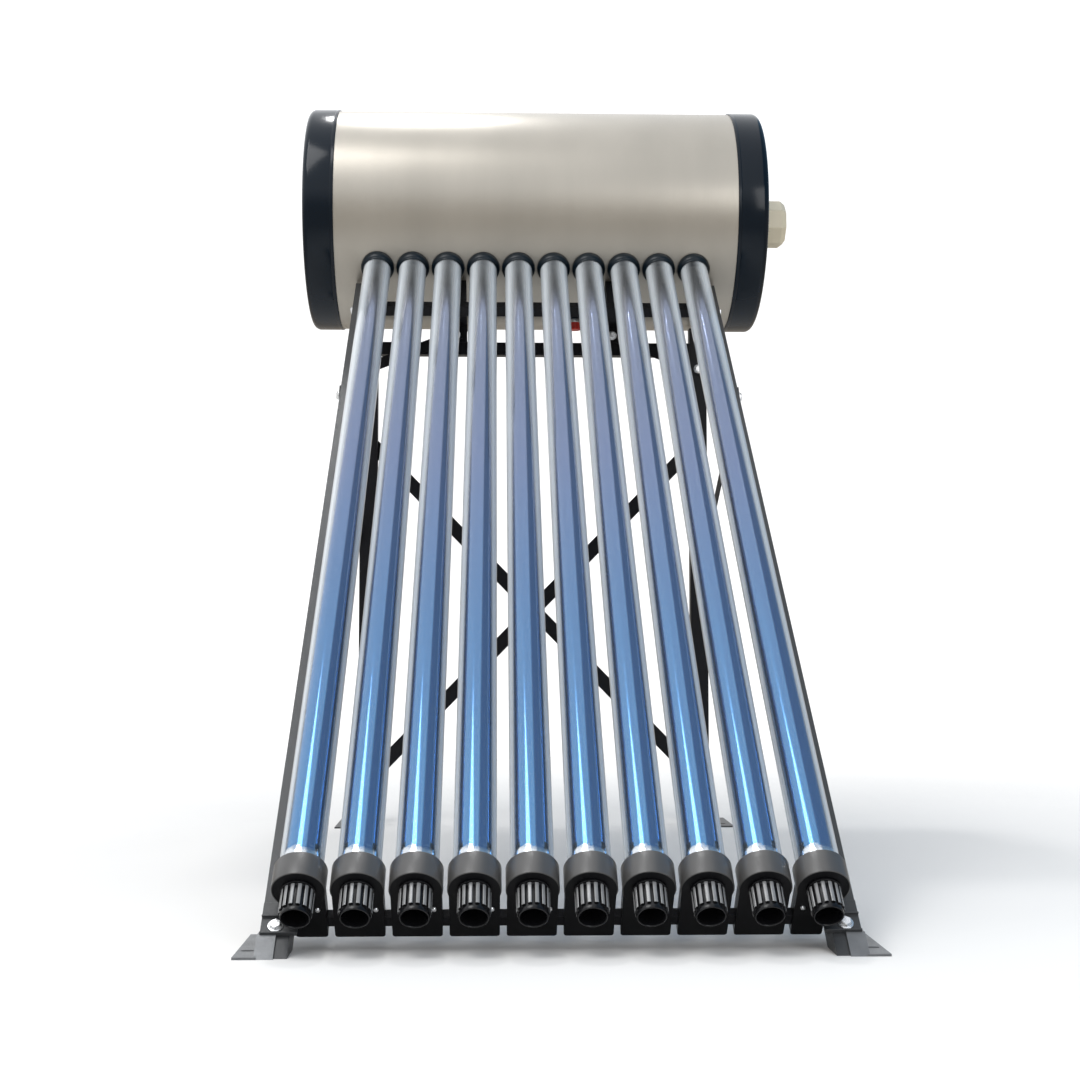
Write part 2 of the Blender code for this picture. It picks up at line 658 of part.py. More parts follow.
def strap(name, start, end, width, facing, surface, parent):
    """A flat bar between two bolts. facing is the direction that its thickness points in."""
    start, end, facing = Vector(start), Vector(end), Vector(facing)
    along = (end - start).normalized()
    across = facing.cross(along)
    half = width / 2
    outline = [(-half, 0), (half, 0), (half, STRAP_THICKNESS), (-half, STRAP_THICKNESS)]
    mesh = prism_mesh(name, outline, -STRAP_TAIL, (end - start).length + STRAP_TAIL)
    turn = Matrix((across, facing, along)).transposed().to_euler()
    place(name, mesh, surface, parent, start, turn)


def make_cross_braces(axis, surface):
    """Two straps between the rear legs, one behind the other."""
    first = -REAR_LEG_FORWARD + REAR_LEG_DEPTH / 2 + GAP
    second = first + STRAP_THICKNESS + GAP
    for name, side, y in (("cross_brace_a", RIGHT, first), ("cross_brace_b", LEFT, second)):
        start = (-side * LEG_X, y, CROSS_LOW - AXIS_HEIGHT)
        end = (side * LEG_X, y, CROSS_HIGH - AXIS_HEIGHT)
        strap(name, start, end, CROSS_WIDTH, (0, 1, 0), surface, axis)


def make_side_braces(axis, surface):
    """A strap on each side from the middle of the rear leg up to the front leg."""
    below = FRONT_LEG_NEAR + FRONT_LEG_DEPTH / 2
    high = collector_point(-SIDE_HIGH, below)
    for name, side in SIDES:
        x = side * (LEG_OUTER + GAP)
        start = (x, -REAR_LEG_FORWARD, SIDE_LOW - AXIS_HEIGHT)
        end = (x, high.y, high.z)
        strap(f"side_brace_{name}", start, end, SIDE_WIDTH, (side, 0, 0), surface, axis)


def make_knee_braces(axis, surface):
    """A short strap from each rear leg up to the cradle, on the front of both."""
    y = rear_leg_front() - GAP
    for name, side in SIDES:
        start = (side * LEG_X, y, -REAR_BAR_BELOW - KNEE_UNDER_BAR)
        end = (side * CRADLE_X, y, -REAR_BAR_BELOW + KNEE_OVER_BAR)
        strap(f"knee_brace_{name}", start, end, KNEE_WIDTH, (0, -1, 0), surface, axis)


def arc_outline(inner, outer, start, end, steps):
    """A curved strip between two radii, as (y, z) points around the tank's axis."""
    turns = [start + (end - start) * i / steps for i in range(steps + 1)]
    outline = [(inner * math.cos(turn), inner * math.sin(turn)) for turn in turns]
    return outline + [(outer * math.cos(turn), outer * math.sin(turn)) for turn in reversed(turns)]


def make_cradles(axis, surface):
    """Curved plates that carry the tank, each with a web down to the front bar and to the rear bar."""
    low, high = -CRADLE_WIDTH / 2, CRADLE_WIDTH / 2
    bar_top = collector_point(-FRONT_BAR_BELOW + GAP, FRONT_LEG_NEAR)
    start = math.atan2(bar_top.z, bar_top.y)
    end = CRADLE_BACK - math.pi / 2
    inner = (TANK_RADIUS + GAP) / math.cos((end - start) / CRADLE_STEPS / 2)
    outer = inner + CRADLE_THICKNESS
    saddle = prism_mesh("cradle", arc_outline(inner, outer, start, end, CRADLE_STEPS), low, high, along_x)
    middle = (inner + outer) / 2
    webs = (("rear", rear_web_outline(middle)), ("front", front_web_outline(start, middle)))
    for name, side in SIDES:
        x = side * CRADLE_X
        cradle = place(f"cradle_{name}", saddle, surface, axis, (x, 0, 0))
        for web, outline in webs:
            mesh = prism_mesh(f"{web}_web", outline, low, high, along_x)
            boolean(cradle, "UNION", cutter(f"{web}_web_{name}", mesh, axis, (x, 0, 0)))


def rear_web_outline(middle):
    """The upright plate from the shell down to the rear bar, and its foot on the bar's upper face."""
    front = rear_leg_front()
    back = front + CRADLE_THICKNESS
    heel = front + BAR_SIZE
    floor = -REAR_BAR_BELOW + BAR_SIZE / 2 + GAP
    return [
        (front, floor), (heel, floor), (heel, floor + CRADLE_THICKNESS), (back, floor + CRADLE_THICKNESS),
        (back, -math.sqrt(middle**2 - back**2)), (front, -math.sqrt(middle**2 - front**2)),
    ]


def front_web_outline(turn, middle):
    """The plate from a cradle's front end out to the front bar, and its foot on the bar's upper face."""
    face = -FRONT_BAR_BELOW + GAP
    near, far = FRONT_LEG_NEAR, FRONT_LEG_NEAR + FRONT_BAR_SIZE
    thick = CRADLE_THICKNESS
    inside = Vector((0, middle * math.cos(turn), middle * math.sin(turn)))
    sideways = Vector((0, -math.sin(turn), math.cos(turn))) * thick
    corners = [
        inside, collector_point(face, near), collector_point(face, far), collector_point(face + thick, far),
        collector_point(face + thick, near + thick), inside + sideways,
    ]
    return [(corner.y, corner.z) for corner in corners]


def make_bars(axis, collector, surface):
    """The rear bar between the rear legs, and the front bar under the top of the tubes."""
    reach = LEG_INNER - GAP
    section = channel_outline(BAR_SIZE, BAR_SIZE, BAR_WALL)
    rear = [(y + rear_leg_front(), x - REAR_BAR_BELOW) for x, y in section]
    place("rear_bar", prism_mesh("rear_bar", rear, -reach, reach, along_x), surface, axis)
    middle = -FRONT_BAR_BELOW - FRONT_BAR_SIZE / 2
    section = channel_outline(FRONT_BAR_SIZE, FRONT_BAR_SIZE, BAR_WALL)
    front = [(y + FRONT_LEG_NEAR, x + middle) for x, y in section]
    place("front_bar", prism_mesh("front_bar", front, -reach, reach, along_x), surface, collector)


def slot_outline():
    """A long hole across the foot, with round ends."""
    half = (SLOT_LENGTH - SLOT_WIDTH) / 2
    outline = []
    for side, start in ((RIGHT, -math.pi / 2), (LEFT, math.pi / 2)):
        for i in range(SLOT_STEPS + 1):
            turn = start + math.pi * i / SLOT_STEPS
            across = side * half + SLOT_WIDTH / 2 * math.cos(turn)
            outline.append((across, SLOT_WIDTH / 2 * math.sin(turn)))
    return outline


def foot_part(name, side, width, wall_outline, front, axis, surface):
    """A plate on the ground beside a leg, with an upright wall against the leg's outer side."""
    inside = side * (LEG_OUTER + GAP)
    low, high = sorted((inside, inside + side * FOOT_WALL))
    foot = place(name, prism_mesh(name, wall_outline, low, high, along_x), surface, axis)
    ends = sorted((inside, inside + side * width))
    low = (ends[0], front, -AXIS_HEIGHT)
    high = (ends[1], front + FOOT_LENGTH, -AXIS_HEIGHT + FOOT_WALL)
    boolean(foot, "UNION", cutter(f"{name}_plate", box_mesh("plate", low, high), axis))
    middle = inside + side * (width + FOOT_WALL) / 2
    slot = prism_mesh("slot", slot_outline(), -FOOT_WALL, 2 * FOOT_WALL)
    place_at = (middle, front + SLOT_FROM_FRONT, -AXIS_HEIGHT)
    boolean(foot, "DIFFERENCE", cutter(f"{name}_slot", slot, axis, place_at))
    return foot


def make_front_feet(axis, collector, surface):
    """Folded feet: the plate, the wall beside the leg, and a tab that lies on the leg's upper face."""
    far = FRONT_LEG_NEAR - GAP
    near = far - FOOT_WALL
    tab_top = COLLAR_MIDDLE - END_PLATE_BELOW - END_PLATE_LENGTH - GAP
    toe = collector_point(ground_line(0, near), near)
    crest = collector_point(tab_top, near)
    heel = toe.y + FOOT_LENGTH
    wall = [
        (toe.y, toe.z), (crest.y, crest.z), (heel - FOOT_LENGTH / 3, crest.z),
        (heel, toe.z + 2 * FOOT_WALL), (heel, toe.z),
    ]
    for name, side in SIDES:
        foot = foot_part(f"front_foot_{name}", side, FRONT_FOOT_WIDTH, wall, toe.y, axis, surface)
        ends = sorted((side * (LEG_OUTER - FOOT_TAB_WIDTH), side * (LEG_OUTER + GAP + FOOT_WALL)))
        outline = [(ends[0], near), (ends[1], near), (ends[1], far), (ends[0], far)]
        tab = prism_mesh("tab", outline, ground_line, tab_top)
        boolean(foot, "UNION", cutter(f"front_foot_{name}_tab", tab, collector))


def make_rear_feet(axis, surface):
    front = -REAR_LEG_FORWARD - REAR_FOOT_FORWARD
    back = front + FOOT_LENGTH
    wall = [
        (front, -AXIS_HEIGHT), (back, -AXIS_HEIGHT),
        (back, FOOT_HEIGHT - AXIS_HEIGHT), (front, FOOT_HEIGHT - AXIS_HEIGHT),
    ]
    for name, side in SIDES:
        foot_part(f"rear_foot_{name}", side, REAR_FOOT_WIDTH, wall, front, axis, surface)


def main():
    clear_scene()
    paint = material("tank_paint", (0.62, 0.58, 0.52), 0.30, 0.75)
    cover = material("cover_enamel", (0.010, 0.016, 0.028), 0.22)
    steel = material("stainless_steel", (0.62, 0.62, 0.61), 0.30, 1.0)
    foam = material("insulation_foam", (0.80, 0.66, 0.32), 0.90)
    glass = material("borosilicate_glass", (0.05, 0.16, 0.33), 0.05, 0.0, 0.6)
    rubber = material("rest_rubber", (0.02, 0.02, 0.02), 0.75)
    plastic = material("tail_plastic", (0.06, 0.065, 0.07), 0.45)
    powder = material("powder_coat", (0.020, 0.021, 0.023), 0.50, 0.2)
    zinc = material("galvanised_steel", (0.20, 0.21, 0.215), 0.45, 0.7)
    ivory = material("cap_plastic", (0.80, 0.74, 0.55), 0.45)
    red = material("plug_plastic", (0.55, 0.06, 0.05), 0.40)

    right_end = TANK_HALF + COVER_DOME + GAP + HEATER_CAP_LENGTH
    middle_x = (TANK_HALF + COVER_DOME - right_end) / 2
    middle_y = -(foremost_y() + COVER_RADIUS) / 2
    axis = empty("tank_axis", location=(middle_x, middle_y, AXIS_HEIGHT))
    collector = empty("collector", axis, collector_point(0, 0), (SLOPE - math.pi / 2, 0, 0))

    make_shell(axis, collector, paint)
    make_foam(axis, collector, foam)
    make_inner_tank(axis, collector, steel)
    make_end_covers(axis, cover)
    make_heater_cap(axis, ivory)
    make_drain_plug(axis, red)
    make_tubes(collector, glass, rubber, plastic)
    make_tail_rack(collector, collector, plastic)
    make_front_legs(collector, powder)
    make_rear_legs(axis, powder)
    make_cross_braces(axis, powder)
    make_side_braces(axis, powder)
    make_knee_braces(axis, powder)
    make_cradles(axis, powder)
    make_bars(axis, collector, powder)
    make_front_feet(axis, collector, zinc)
    make_rear_feet(axis, zinc)


main()
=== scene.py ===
"""Looks of the solar water heater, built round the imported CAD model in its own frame."""

import json
import math

import bmesh
import bpy
import numpy as np
from mathutils import Matrix, Vector


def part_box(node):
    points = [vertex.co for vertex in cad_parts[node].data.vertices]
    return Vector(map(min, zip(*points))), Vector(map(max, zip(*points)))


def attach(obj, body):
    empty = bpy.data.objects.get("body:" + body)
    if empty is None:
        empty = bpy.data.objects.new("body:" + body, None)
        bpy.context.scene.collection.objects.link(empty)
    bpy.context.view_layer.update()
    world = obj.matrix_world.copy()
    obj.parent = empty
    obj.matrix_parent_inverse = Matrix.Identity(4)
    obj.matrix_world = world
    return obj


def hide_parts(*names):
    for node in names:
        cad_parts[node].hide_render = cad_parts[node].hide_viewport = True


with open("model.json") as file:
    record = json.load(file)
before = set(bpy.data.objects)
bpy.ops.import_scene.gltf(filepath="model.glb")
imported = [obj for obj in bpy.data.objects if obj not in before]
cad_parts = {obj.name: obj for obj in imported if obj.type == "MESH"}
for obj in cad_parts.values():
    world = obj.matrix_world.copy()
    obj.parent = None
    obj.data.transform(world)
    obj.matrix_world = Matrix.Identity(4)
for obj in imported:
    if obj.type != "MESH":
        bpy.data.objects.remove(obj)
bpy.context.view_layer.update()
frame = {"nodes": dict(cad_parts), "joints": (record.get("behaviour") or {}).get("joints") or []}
NODES = frame["nodes"]
TUBE_COUNT = 10
SIDES = (("left", -1), ("right", 1))

# Sizes that the CAD solids have, along a tube from its tip
TUBE_RADIUS = 0.029
GLASS_WALL = 0.0016
ABSORBER_RADIUS = 0.0235
GETTER_SPACE = 0.010
COLLAR_RADIUS = 0.035
COLLAR_BORE = 0.0302
COLLAR_SKIRT = 0.0016
THREAD_HOLE = 0.0226
COLLAR_TOP = -0.026
COLLAR_FOOT = 0.011
HOLDER_HALF_WIDTH = 0.033
HOLDER_DEPTH = 0.091
HOLDER_BACK = -0.009
RACK_HALF = 0.3467
LEG_FACE = 0.0367  # tube axis to the upper face of a front leg
LEG_MIDDLE = 0.366
LEG_OUTER = 0.385
RAIL_NEAR = 0.0560  # from the tubes' axes to the rail's upper face
RAIL_FAR = 0.0740
RAIL_TOP = -0.006
RAIL_FOOT = 0.008

# A tail cup, along its tube from the tip
CUP_THREAD = 0.0220
CUP_THREAD_TOP = -0.0050
CUP_THREAD_FOOT = 0.0112
CUP_SHOULDER = 0.0228
CUP_BARREL = 0.0192
CUP_RING = 0.0197
CUP_RING_FOOT = 0.0560
CUP_BORE = 0.0167
CUP_POCKET = 0.0186
CUP_HOLE = 0.0060
CUP_FLOOR = (0.0065, 0.0110)
CUP_LEAD = 0.0040
RIB_COUNT = 14
RIB_RUN = (0.0155, 0.0478)
RIB_RADIUS = 0.0219
RIB_HALF_WIDTH = 0.0029

# The tank's ends, the port, the sheet metal and the fasteners
COVER_EDGE = 0.014
COVER_WALL = 0.0022
GROOVE_OUTER = 0.214
FACE_RADIUS = 0.199
PORT_HOLE = 0.032
SHELL_SHEET = 0.0012
SEAM_TURN = math.radians(35)
STRAP_TAIL = 0.012  # a strap's end to its bolt
FOOT_SHEET = 0.003
FOOT_BOLT_HEIGHT = 0.028
RACK_BOLT_RUN = 0.0385  # the tubes' tips to the bolts of the end plates, down the slope
END_SHEET = 0.003
PLUG_SPIGOT = 0.010  # the part of the drain plug that is hidden in the stub


def joint_of(child):
    """The joint that carries a body."""
    return next(joint for joint in frame["joints"] if joint["child"] == child)


DOWN = Vector(joint_of("tail_cup_01")["axis"]).normalized()
ACROSS = Vector((1, 0, 0))
BELOW = DOWN.cross(ACROSS)  # away from the tubes' upper side
if BELOW.z > 0:
    BELOW = -BELOW


def reach(node, direction):
    """The least and the greatest distance of a CAD node's vertices along a direction."""
    runs = [vertex.co.dot(direction) for vertex in NODES[node].data.vertices]
    return min(runs), max(runs)


def tube_frame(number):
    """Puts Z down the tube from its tip, X across, and Y towards the underside."""
    tube = f"evacuated_tube_{number:02}"
    point = Vector(joint_of(f"tail_cup_{number:02}")["pos_m"])
    nipple = 0.010
    tip = reach(tube, DOWN)[1] - nipple
    origin = point + DOWN * (tip - point.dot(DOWN))
    turn = Matrix((ACROSS, BELOW, DOWN)).transposed().to_4x4()
    return Matrix.Translation(origin) @ turn


TUBES = [tube_frame(number + 1) for number in range(TUBE_COUNT)]
SHELL_LOW, SHELL_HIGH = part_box("tank_shell")
TANK_RADIUS = (SHELL_HIGH.z - SHELL_LOW.z) / 2
TANK_CENTRE = (SHELL_LOW + SHELL_HIGH) / 2
MIDDLE = TANK_CENTRE.x
TUBE_TOP = reach("evacuated_tube_01", DOWN)[0] - TUBES[0].translation.dot(DOWN)


# Meshes


def object_from(shape, name, smooth_below=30):
    """Ends a shape and makes an object of it, with edges below an angle in degrees shaded smooth."""
    bmesh.ops.recalc_face_normals(shape, faces=shape.faces)
    mesh = bpy.data.meshes.new(name)
    shape.to_mesh(mesh)
    shape.free()
    mesh.shade_smooth()
    mesh.set_sharp_from_angle(angle=math.radians(smooth_below))
    made = bpy.data.objects.new(name, mesh)
    bpy.context.scene.collection.objects.link(made)
    return made


def finish_piece(piece, material, body, matrix=None, replaces=()):
    """Gives a piece its material, its place and its body, and hides the CAD nodes it replaces."""
    piece.data.materials.clear()
    piece.data.materials.append(material)
    if matrix:
        piece.matrix_world = matrix
    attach(piece, body)
    if replaces:
        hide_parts(*replaces)
    return piece


def add_turned(shape, profile, steps, matrix=None):
    """Turns a closed (radius, height) profile about Z."""
    on_axis = profile[0][0] < 1e-9
    points = [shape.verts.new((radius, 0, height)) for radius, height in profile]
    ring = points if on_axis else points + points[:1]
    edges = [shape.edges.new(pair) for pair in zip(ring, ring[1:])]
    before = set(shape.verts) - set(points)
    bmesh.ops.spin(
        shape, geom=points + edges, cent=(0, 0, 0), axis=(0, 0, 1),
        angle=2 * math.pi, steps=steps, use_merge=True,
    )
    made = [vertex for vertex in shape.verts if vertex not in before]
    bmesh.ops.remove_doubles(shape, verts=made, dist=1e-6)
    made = [vertex for vertex in shape.verts if vertex not in before]
    if matrix:
        bmesh.ops.transform(shape, matrix=matrix, verts=made)
    return made


def turned(name, profile, steps):
    """An object made by turning one profile."""
    shape = bmesh.new()
    add_turned(shape, profile, steps)
    return object_from(shape, name)


def add_prism(shape, outline, low, high, matrix=None):
    """Draws an (x, y) outline out along Z."""
    rings = [[shape.verts.new((x, y, z)) for x, y in outline] for z in (low, high)]
    for ring in rings:
        shape.faces.new(ring)
    for i in range(len(outline)):
        shape.faces.new((rings[0][i - 1], rings[0][i], rings[1][i], rings[1][i - 1]))
    if matrix:
        bmesh.ops.transform(shape, matrix=matrix, verts=rings[0] + rings[1])


def add_plate(shape, outline, hole, low, high):
    """A plate with an outline and one hole, both as (x, y) points."""
    loops = []
    for points in (outline, hole):
        ring = [shape.verts.new((x, y, low)) for x, y in points]
        loops += [shape.edges.new((ring[i - 1], ring[i])) for i in range(len(ring))]
    filled = bmesh.ops.triangle_fill(shape, use_beauty=True, use_dissolve=False, edges=loops)
    faces = [item for item in filled["geom"] if isinstance(item, bmesh.types.BMFace)]
    grown = bmesh.ops.extrude_face_region(shape, geom=faces, use_keep_orig=True)
    lifted = [item for item in grown["geom"] if isinstance(item, bmesh.types.BMVert)]
    bmesh.ops.translate(shape, vec=(0, 0, high - low), verts=lifted)


def add_box(shape, low, high, matrix=None):
    """A box between two corners."""
    size = Vector(high) - Vector(low)
    place = Matrix.Translation((Vector(high) + Vector(low)) / 2) @ Matrix.Diagonal((*size, 1))
    bmesh.ops.create_cube(shape, size=1, matrix=matrix @ place if matrix else place)


def bevel(piece, width, segments=3, angle=30):
    """Rounds the edges that are sharper than an angle in degrees."""
    made = piece.modifiers.new("edges", "BEVEL")
    made.width = width
    made.segments = segments
    made.limit_method = "ANGLE"
    made.angle_limit = math.radians(angle)
    made.harden_normals = True
    return piece


def circle(radius, steps, centre=(0, 0), start=0.0, end=2 * math.pi):
    """Points round a circle; a full turn leaves out the last point."""
    full = abs(end - start) > 2 * math.pi - 1e-6
    count = steps if full else steps + 1
    turns = [start + (end - start) * i / steps for i in range(count)]
    return [(centre[0] + radius * math.cos(turn), centre[1] + radius * math.sin(turn)) for turn in turns]


def along_tank(side=1):
    """Lays a turned piece's Z axis along the tank, from its middle towards the right or the left."""
    return Matrix.Translation(TANK_CENTRE) @ Matrix.Rotation(side * math.pi / 2, 4, "Y")


def facing(point, direction):
    """Puts Z along a direction at a point."""
    turn = Vector(direction).to_track_quat("Z", "X").to_matrix().to_4x4()
    return Matrix.Translation(point) @ turn


# Materials


def new_material(name):
    """A material, its node tree and its shader."""
    made = bpy.data.materials.new(name)
    made.use_nodes = True
    tree = made.node_tree
    return made, tree, tree.nodes["Principled BSDF"]


def node(tree, kind, **inputs):
    """A node with values for its inputs; an underscore stands for a space."""
    made = tree.nodes.new(kind)
    for name, value in inputs.items():
        made.inputs[name.replace("_", " ")].default_value = value
    return made


def noise(tree, scale, detail=3.0, stretch=(1, 1, 1)):
    """Noise over the object's own coordinates."""
    place = tree.nodes.new("ShaderNodeTexCoord")
    mapping = tree.nodes.new("ShaderNodeMapping")
    mapping.inputs["Scale"].default_value = stretch
    tree.links.new(place.outputs["Object"], mapping.inputs["Vector"])
    made = node(tree, "ShaderNodeTexNoise", Scale=scale, Detail=detail)
    tree.links.new(mapping.outputs["Vector"], made.inputs["Vector"])
    return made.outputs["Fac"]


def ramp(tree, factor, stops):
    """A colour ramp with (position, (r, g, b)) stops."""
    made = tree.nodes.new("ShaderNodeValToRGB")
    tree.links.new(factor, made.inputs["Fac"])
    elements = made.color_ramp.elements
    while len(elements) < len(stops):
        elements.new(0.5)
    for element, (position, colour) in zip(elements, stops):
        element.position = position
        element.color = (*colour, 1)
    return made.outputs["Color"]


def spread(tree, factor, low, high, start=0.3, end=0.7):
    """Maps a factor's run from start to end onto low to high."""
    made = node(tree, "ShaderNodeMapRange", From_Min=start, From_Max=end, To_Min=low, To_Max=high)
    tree.links.new(factor, made.inputs["Value"])
    return made.outputs["Result"]


def bump(tree, shader, height, strength):
    """Relief up to a millimetre high."""
    made = node(tree, "ShaderNodeBump", Strength=strength, Distance=0.001)
    tree.links.new(height, made.inputs["Height"])
    tree.links.new(made.outputs["Normal"], shader.inputs["Normal"])


def shade(colour, factor):
    """A lighter or darker colour."""
    return tuple(min(1.0, channel * factor) for channel in colour)


def surface(
    name, colour, rough, metallic=0.0, gloss=0.5, vary=0.10,
    patch=6.0, grain=600.0, depth=0.15, stretch=(1, 1, 1),
):
    """A finish whose colour drifts in patches, with a fine grain in its roughness and its bump."""
    made, tree, shader = new_material(name)
    drift = noise(tree, patch, 4.0, stretch)
    colours = ramp(tree, drift, [(0.3, shade(colour, 1 - vary)), (0.7, shade(colour, 1 + vary))])
    tree.links.new(colours, shader.inputs["Base Color"])
    fine = noise(tree, grain, 2.0, stretch)
    tree.links.new(spread(tree, fine, rough * 0.85, rough * 1.15), shader.inputs["Roughness"])
    bump(tree, shader, fine, depth)
    shader.inputs["Metallic"].default_value = metallic
    shader.inputs["Specular IOR Level"].default_value = gloss
    return made


def absorber_material():
    """Selective coating under glass, with painted reflection along the tube: near black next to the tank
    for the tank's shaded underside, then slate grading to blue towards the tip for the sky.
    """
    made, tree, shader = new_material("absorber_coating")
    place = tree.nodes.new("ShaderNodeTexCoord")
    split = tree.nodes.new("ShaderNodeSeparateXYZ")
    tree.links.new(place.outputs["Object"], split.inputs["Vector"])
    run = spread(tree, split.outputs["Z"], 0, 1, -1.72, 0.0)
    # Painted reflection: near black where the tube mirrors the tank's shaded underside, then slate grading
    # to blue as painted sky reflection
    colours = ramp(
        tree, run,
        [(0.0, (0.012, 0.020, 0.028)), (0.085, (0.020, 0.030, 0.045)), (0.14, (0.160, 0.190, 0.280)),
         (0.45, (0.150, 0.210, 0.370)), (0.72, (0.090, 0.230, 0.450)), (1.0, (0.075, 0.250, 0.500))],
    )
    streak = noise(tree, 3.0, 3.0, (14, 14, 0.25))
    mixed = node(tree, "ShaderNodeMixRGB", Fac=1.0)
    mixed.blend_type = "MULTIPLY"
    tree.links.new(colours, mixed.inputs["Color1"])
    streaks = ramp(tree, streak, [(0.35, (0.82, 0.84, 0.88)), (0.65, (1, 1, 1))])
    tree.links.new(streaks, mixed.inputs["Color2"])
    tree.links.new(mixed.outputs["Color"], shader.inputs["Base Color"])
    tree.links.new(spread(tree, streak, 0.10, 0.16), shader.inputs["Roughness"])
    shader.inputs["Metallic"].default_value = 0.95
    shader.inputs["Coat Weight"].default_value = 0.5
    shader.inputs["Coat Roughness"].default_value = 0.05
    return made


def glass_material():
    """Clear glass: almost invisible face on, pale and glossy at the edges, where the pale colour is painted
    light for the bright surroundings seen through the glass's rim.
    """
    made, tree, shader = new_material("clear_glass")
    edge = node(tree, "ShaderNodeLayerWeight", Blend=0.25)
    cover = spread(tree, edge.outputs["Facing"], 0.03, 0.85, 0.31, 0.44)
    tree.links.new(cover, shader.inputs["Alpha"])
    # Painted light: the pale colour shows on the edges and stands for bright surroundings refracted through
    # the glass
    tint = noise(tree, 2.0, 2.0)
    colours = ramp(tree, tint, [(0.3, (0.60, 0.64, 0.67)), (0.7, (0.68, 0.72, 0.75))])
    tree.links.new(colours, shader.inputs["Base Color"])
    shader.inputs["Roughness"].default_value = 0.03
    shader.inputs["IOR"].default_value = 1.47
    return made


def getter_material():
    """Silver film inside the lower end of the outer glass, with a ragged upper edge."""
    made, tree, shader = new_material("getter_mirror")
    place = tree.nodes.new("ShaderNodeTexCoord")
    split = tree.nodes.new("ShaderNodeSeparateXYZ")
    tree.links.new(place.outputs["Object"], split.inputs["Vector"])
    rag = spread(tree, noise(tree, 60.0, 3.0), -0.006, 0.006, 0.3, 0.7)
    total = tree.nodes.new("ShaderNodeMath")
    total.operation = "ADD"
    tree.links.new(split.outputs["Z"], total.inputs[0])
    tree.links.new(rag, total.inputs[1])
    cover = spread(tree, total.outputs["Value"], 0.0, 1.0, -0.046, -0.036)
    tree.links.new(cover, shader.inputs["Alpha"])
    colours = ramp(tree, noise(tree, 40.0), [(0.3, (0.62, 0.66, 0.70)), (0.7, (0.82, 0.84, 0.86))])
    tree.links.new(colours, shader.inputs["Base Color"])
    shader.inputs["Metallic"].default_value = 1.0
    shader.inputs["Roughness"].default_value = 0.16
    return made


PAINT = surface(
    "tank_paint", (0.42, 0.39, 0.34), 0.34, metallic=0.55,
    vary=0.05, patch=2.5, grain=90.0, depth=0.03, stretch=(0.3, 4, 4),
)
COVER = surface(
    "cover_enamel", (0.003, 0.008, 0.015), 0.16, gloss=0.22,
    vary=0.12, patch=3.0, grain=220.0, depth=0.04,
)
STEEL = surface(
    "vessel_steel", (0.62, 0.62, 0.61), 0.30, metallic=1.0,
    vary=0.06, grain=500.0, depth=0.05, stretch=(1, 8, 8),
)
FOAM = surface(
    "foam", (0.78, 0.64, 0.32), 0.90,
    vary=0.12, patch=12.0, grain=300.0, depth=0.6,
)
RUBBER = surface(
    "seal_rubber", (0.004, 0.009, 0.014), 0.30, gloss=0.25,
    vary=0.15, patch=20.0, grain=900.0, depth=0.10,
)
COLLAR = surface(
    "collar_plastic", (0.062, 0.060, 0.058), 0.36, gloss=0.6,
    vary=0.12, patch=25.0, grain=1500.0, depth=0.12,
)
# Painted shade: the holders are near black to stand for the shade that falls under the collars' rims
HOLDER_PAINTED_SHADE = surface(
    "holder_plastic_painted_shade", (0.006, 0.006, 0.007), 0.40, gloss=0.15,
    vary=0.15, patch=25.0, grain=1500.0, depth=0.12,
)
CUP = surface(
    "cup_plastic", (0.006, 0.006, 0.007), 0.22, gloss=0.30,
    vary=0.15, patch=25.0, grain=1500.0, depth=0.06,
)
# Painted highlight: the ribs are the cups' black plastic, made paler where the light catches them
RIB_PAINTED_HIGHLIGHT = surface(
    "cup_rib_painted_highlight", (0.22, 0.22, 0.22), 0.28, gloss=0.9,
    vary=0.12, patch=60.0, grain=1500.0, depth=0.08,
)
# Painted shade: the stand's one powder coat in a near black copy for the rail, bars, braces, cradles and
# rear legs that sit back in the shade under the tank
FRAME_COAT_PAINTED_SHADE = surface(
    "powder_coat", (0.006, 0.006, 0.008), 0.42, gloss=0.20,
    vary=0.20, patch=8.0, grain=700.0, depth=0.30,
)
# Painted light: a lighter, lit copy of the same powder coat for the front legs, the rack's end plates and
# the rear feet
FRAME_COAT_PAINTED_LIGHT = surface(
    "frame_coat_painted_light", (0.040, 0.042, 0.044), 0.40, gloss=0.45,
    vary=0.15, patch=8.0, grain=700.0, depth=0.30,
)
GREY = surface(
    "galvanised_steel", (0.16, 0.165, 0.17), 0.42, metallic=0.3,
    vary=0.22, patch=30.0, grain=400.0, depth=0.10,
)
ZINC = surface(
    "bright_zinc", (0.82, 0.83, 0.84), 0.28, metallic=0.9,
    vary=0.08, patch=40.0, grain=600.0, depth=0.08,
)
IVORY = surface(
    "cap_plastic", (0.82, 0.74, 0.56), 0.42,
    vary=0.05, patch=14.0, grain=900.0, depth=0.08,
)
RED = surface(
    "plug_plastic", (0.50, 0.03, 0.02), 0.35,
    vary=0.10, patch=40.0, grain=900.0, depth=0.08,
)
ABSORBER = absorber_material()
GLASS = glass_material()
GETTER = getter_material()


# Tubes


def dome(radius, tip, steps):
    """(radius, height) points from the axis at the tip up to the full radius."""
    points = []
    for i in range(steps + 1):
        turn = math.pi / 2 * i / steps
        points.append((radius * math.sin(turn), tip - radius + radius * math.cos(turn)))
    return points


def glass_profile():
    """The outer glass: round at the tip, open at the tank."""
    inside = TUBE_RADIUS - GLASS_WALL
    profile = dome(TUBE_RADIUS, 0, 12) + [(TUBE_RADIUS, TUBE_TOP), (inside, TUBE_TOP)]
    return profile + dome(inside, -GLASS_WALL, 12)[::-1]


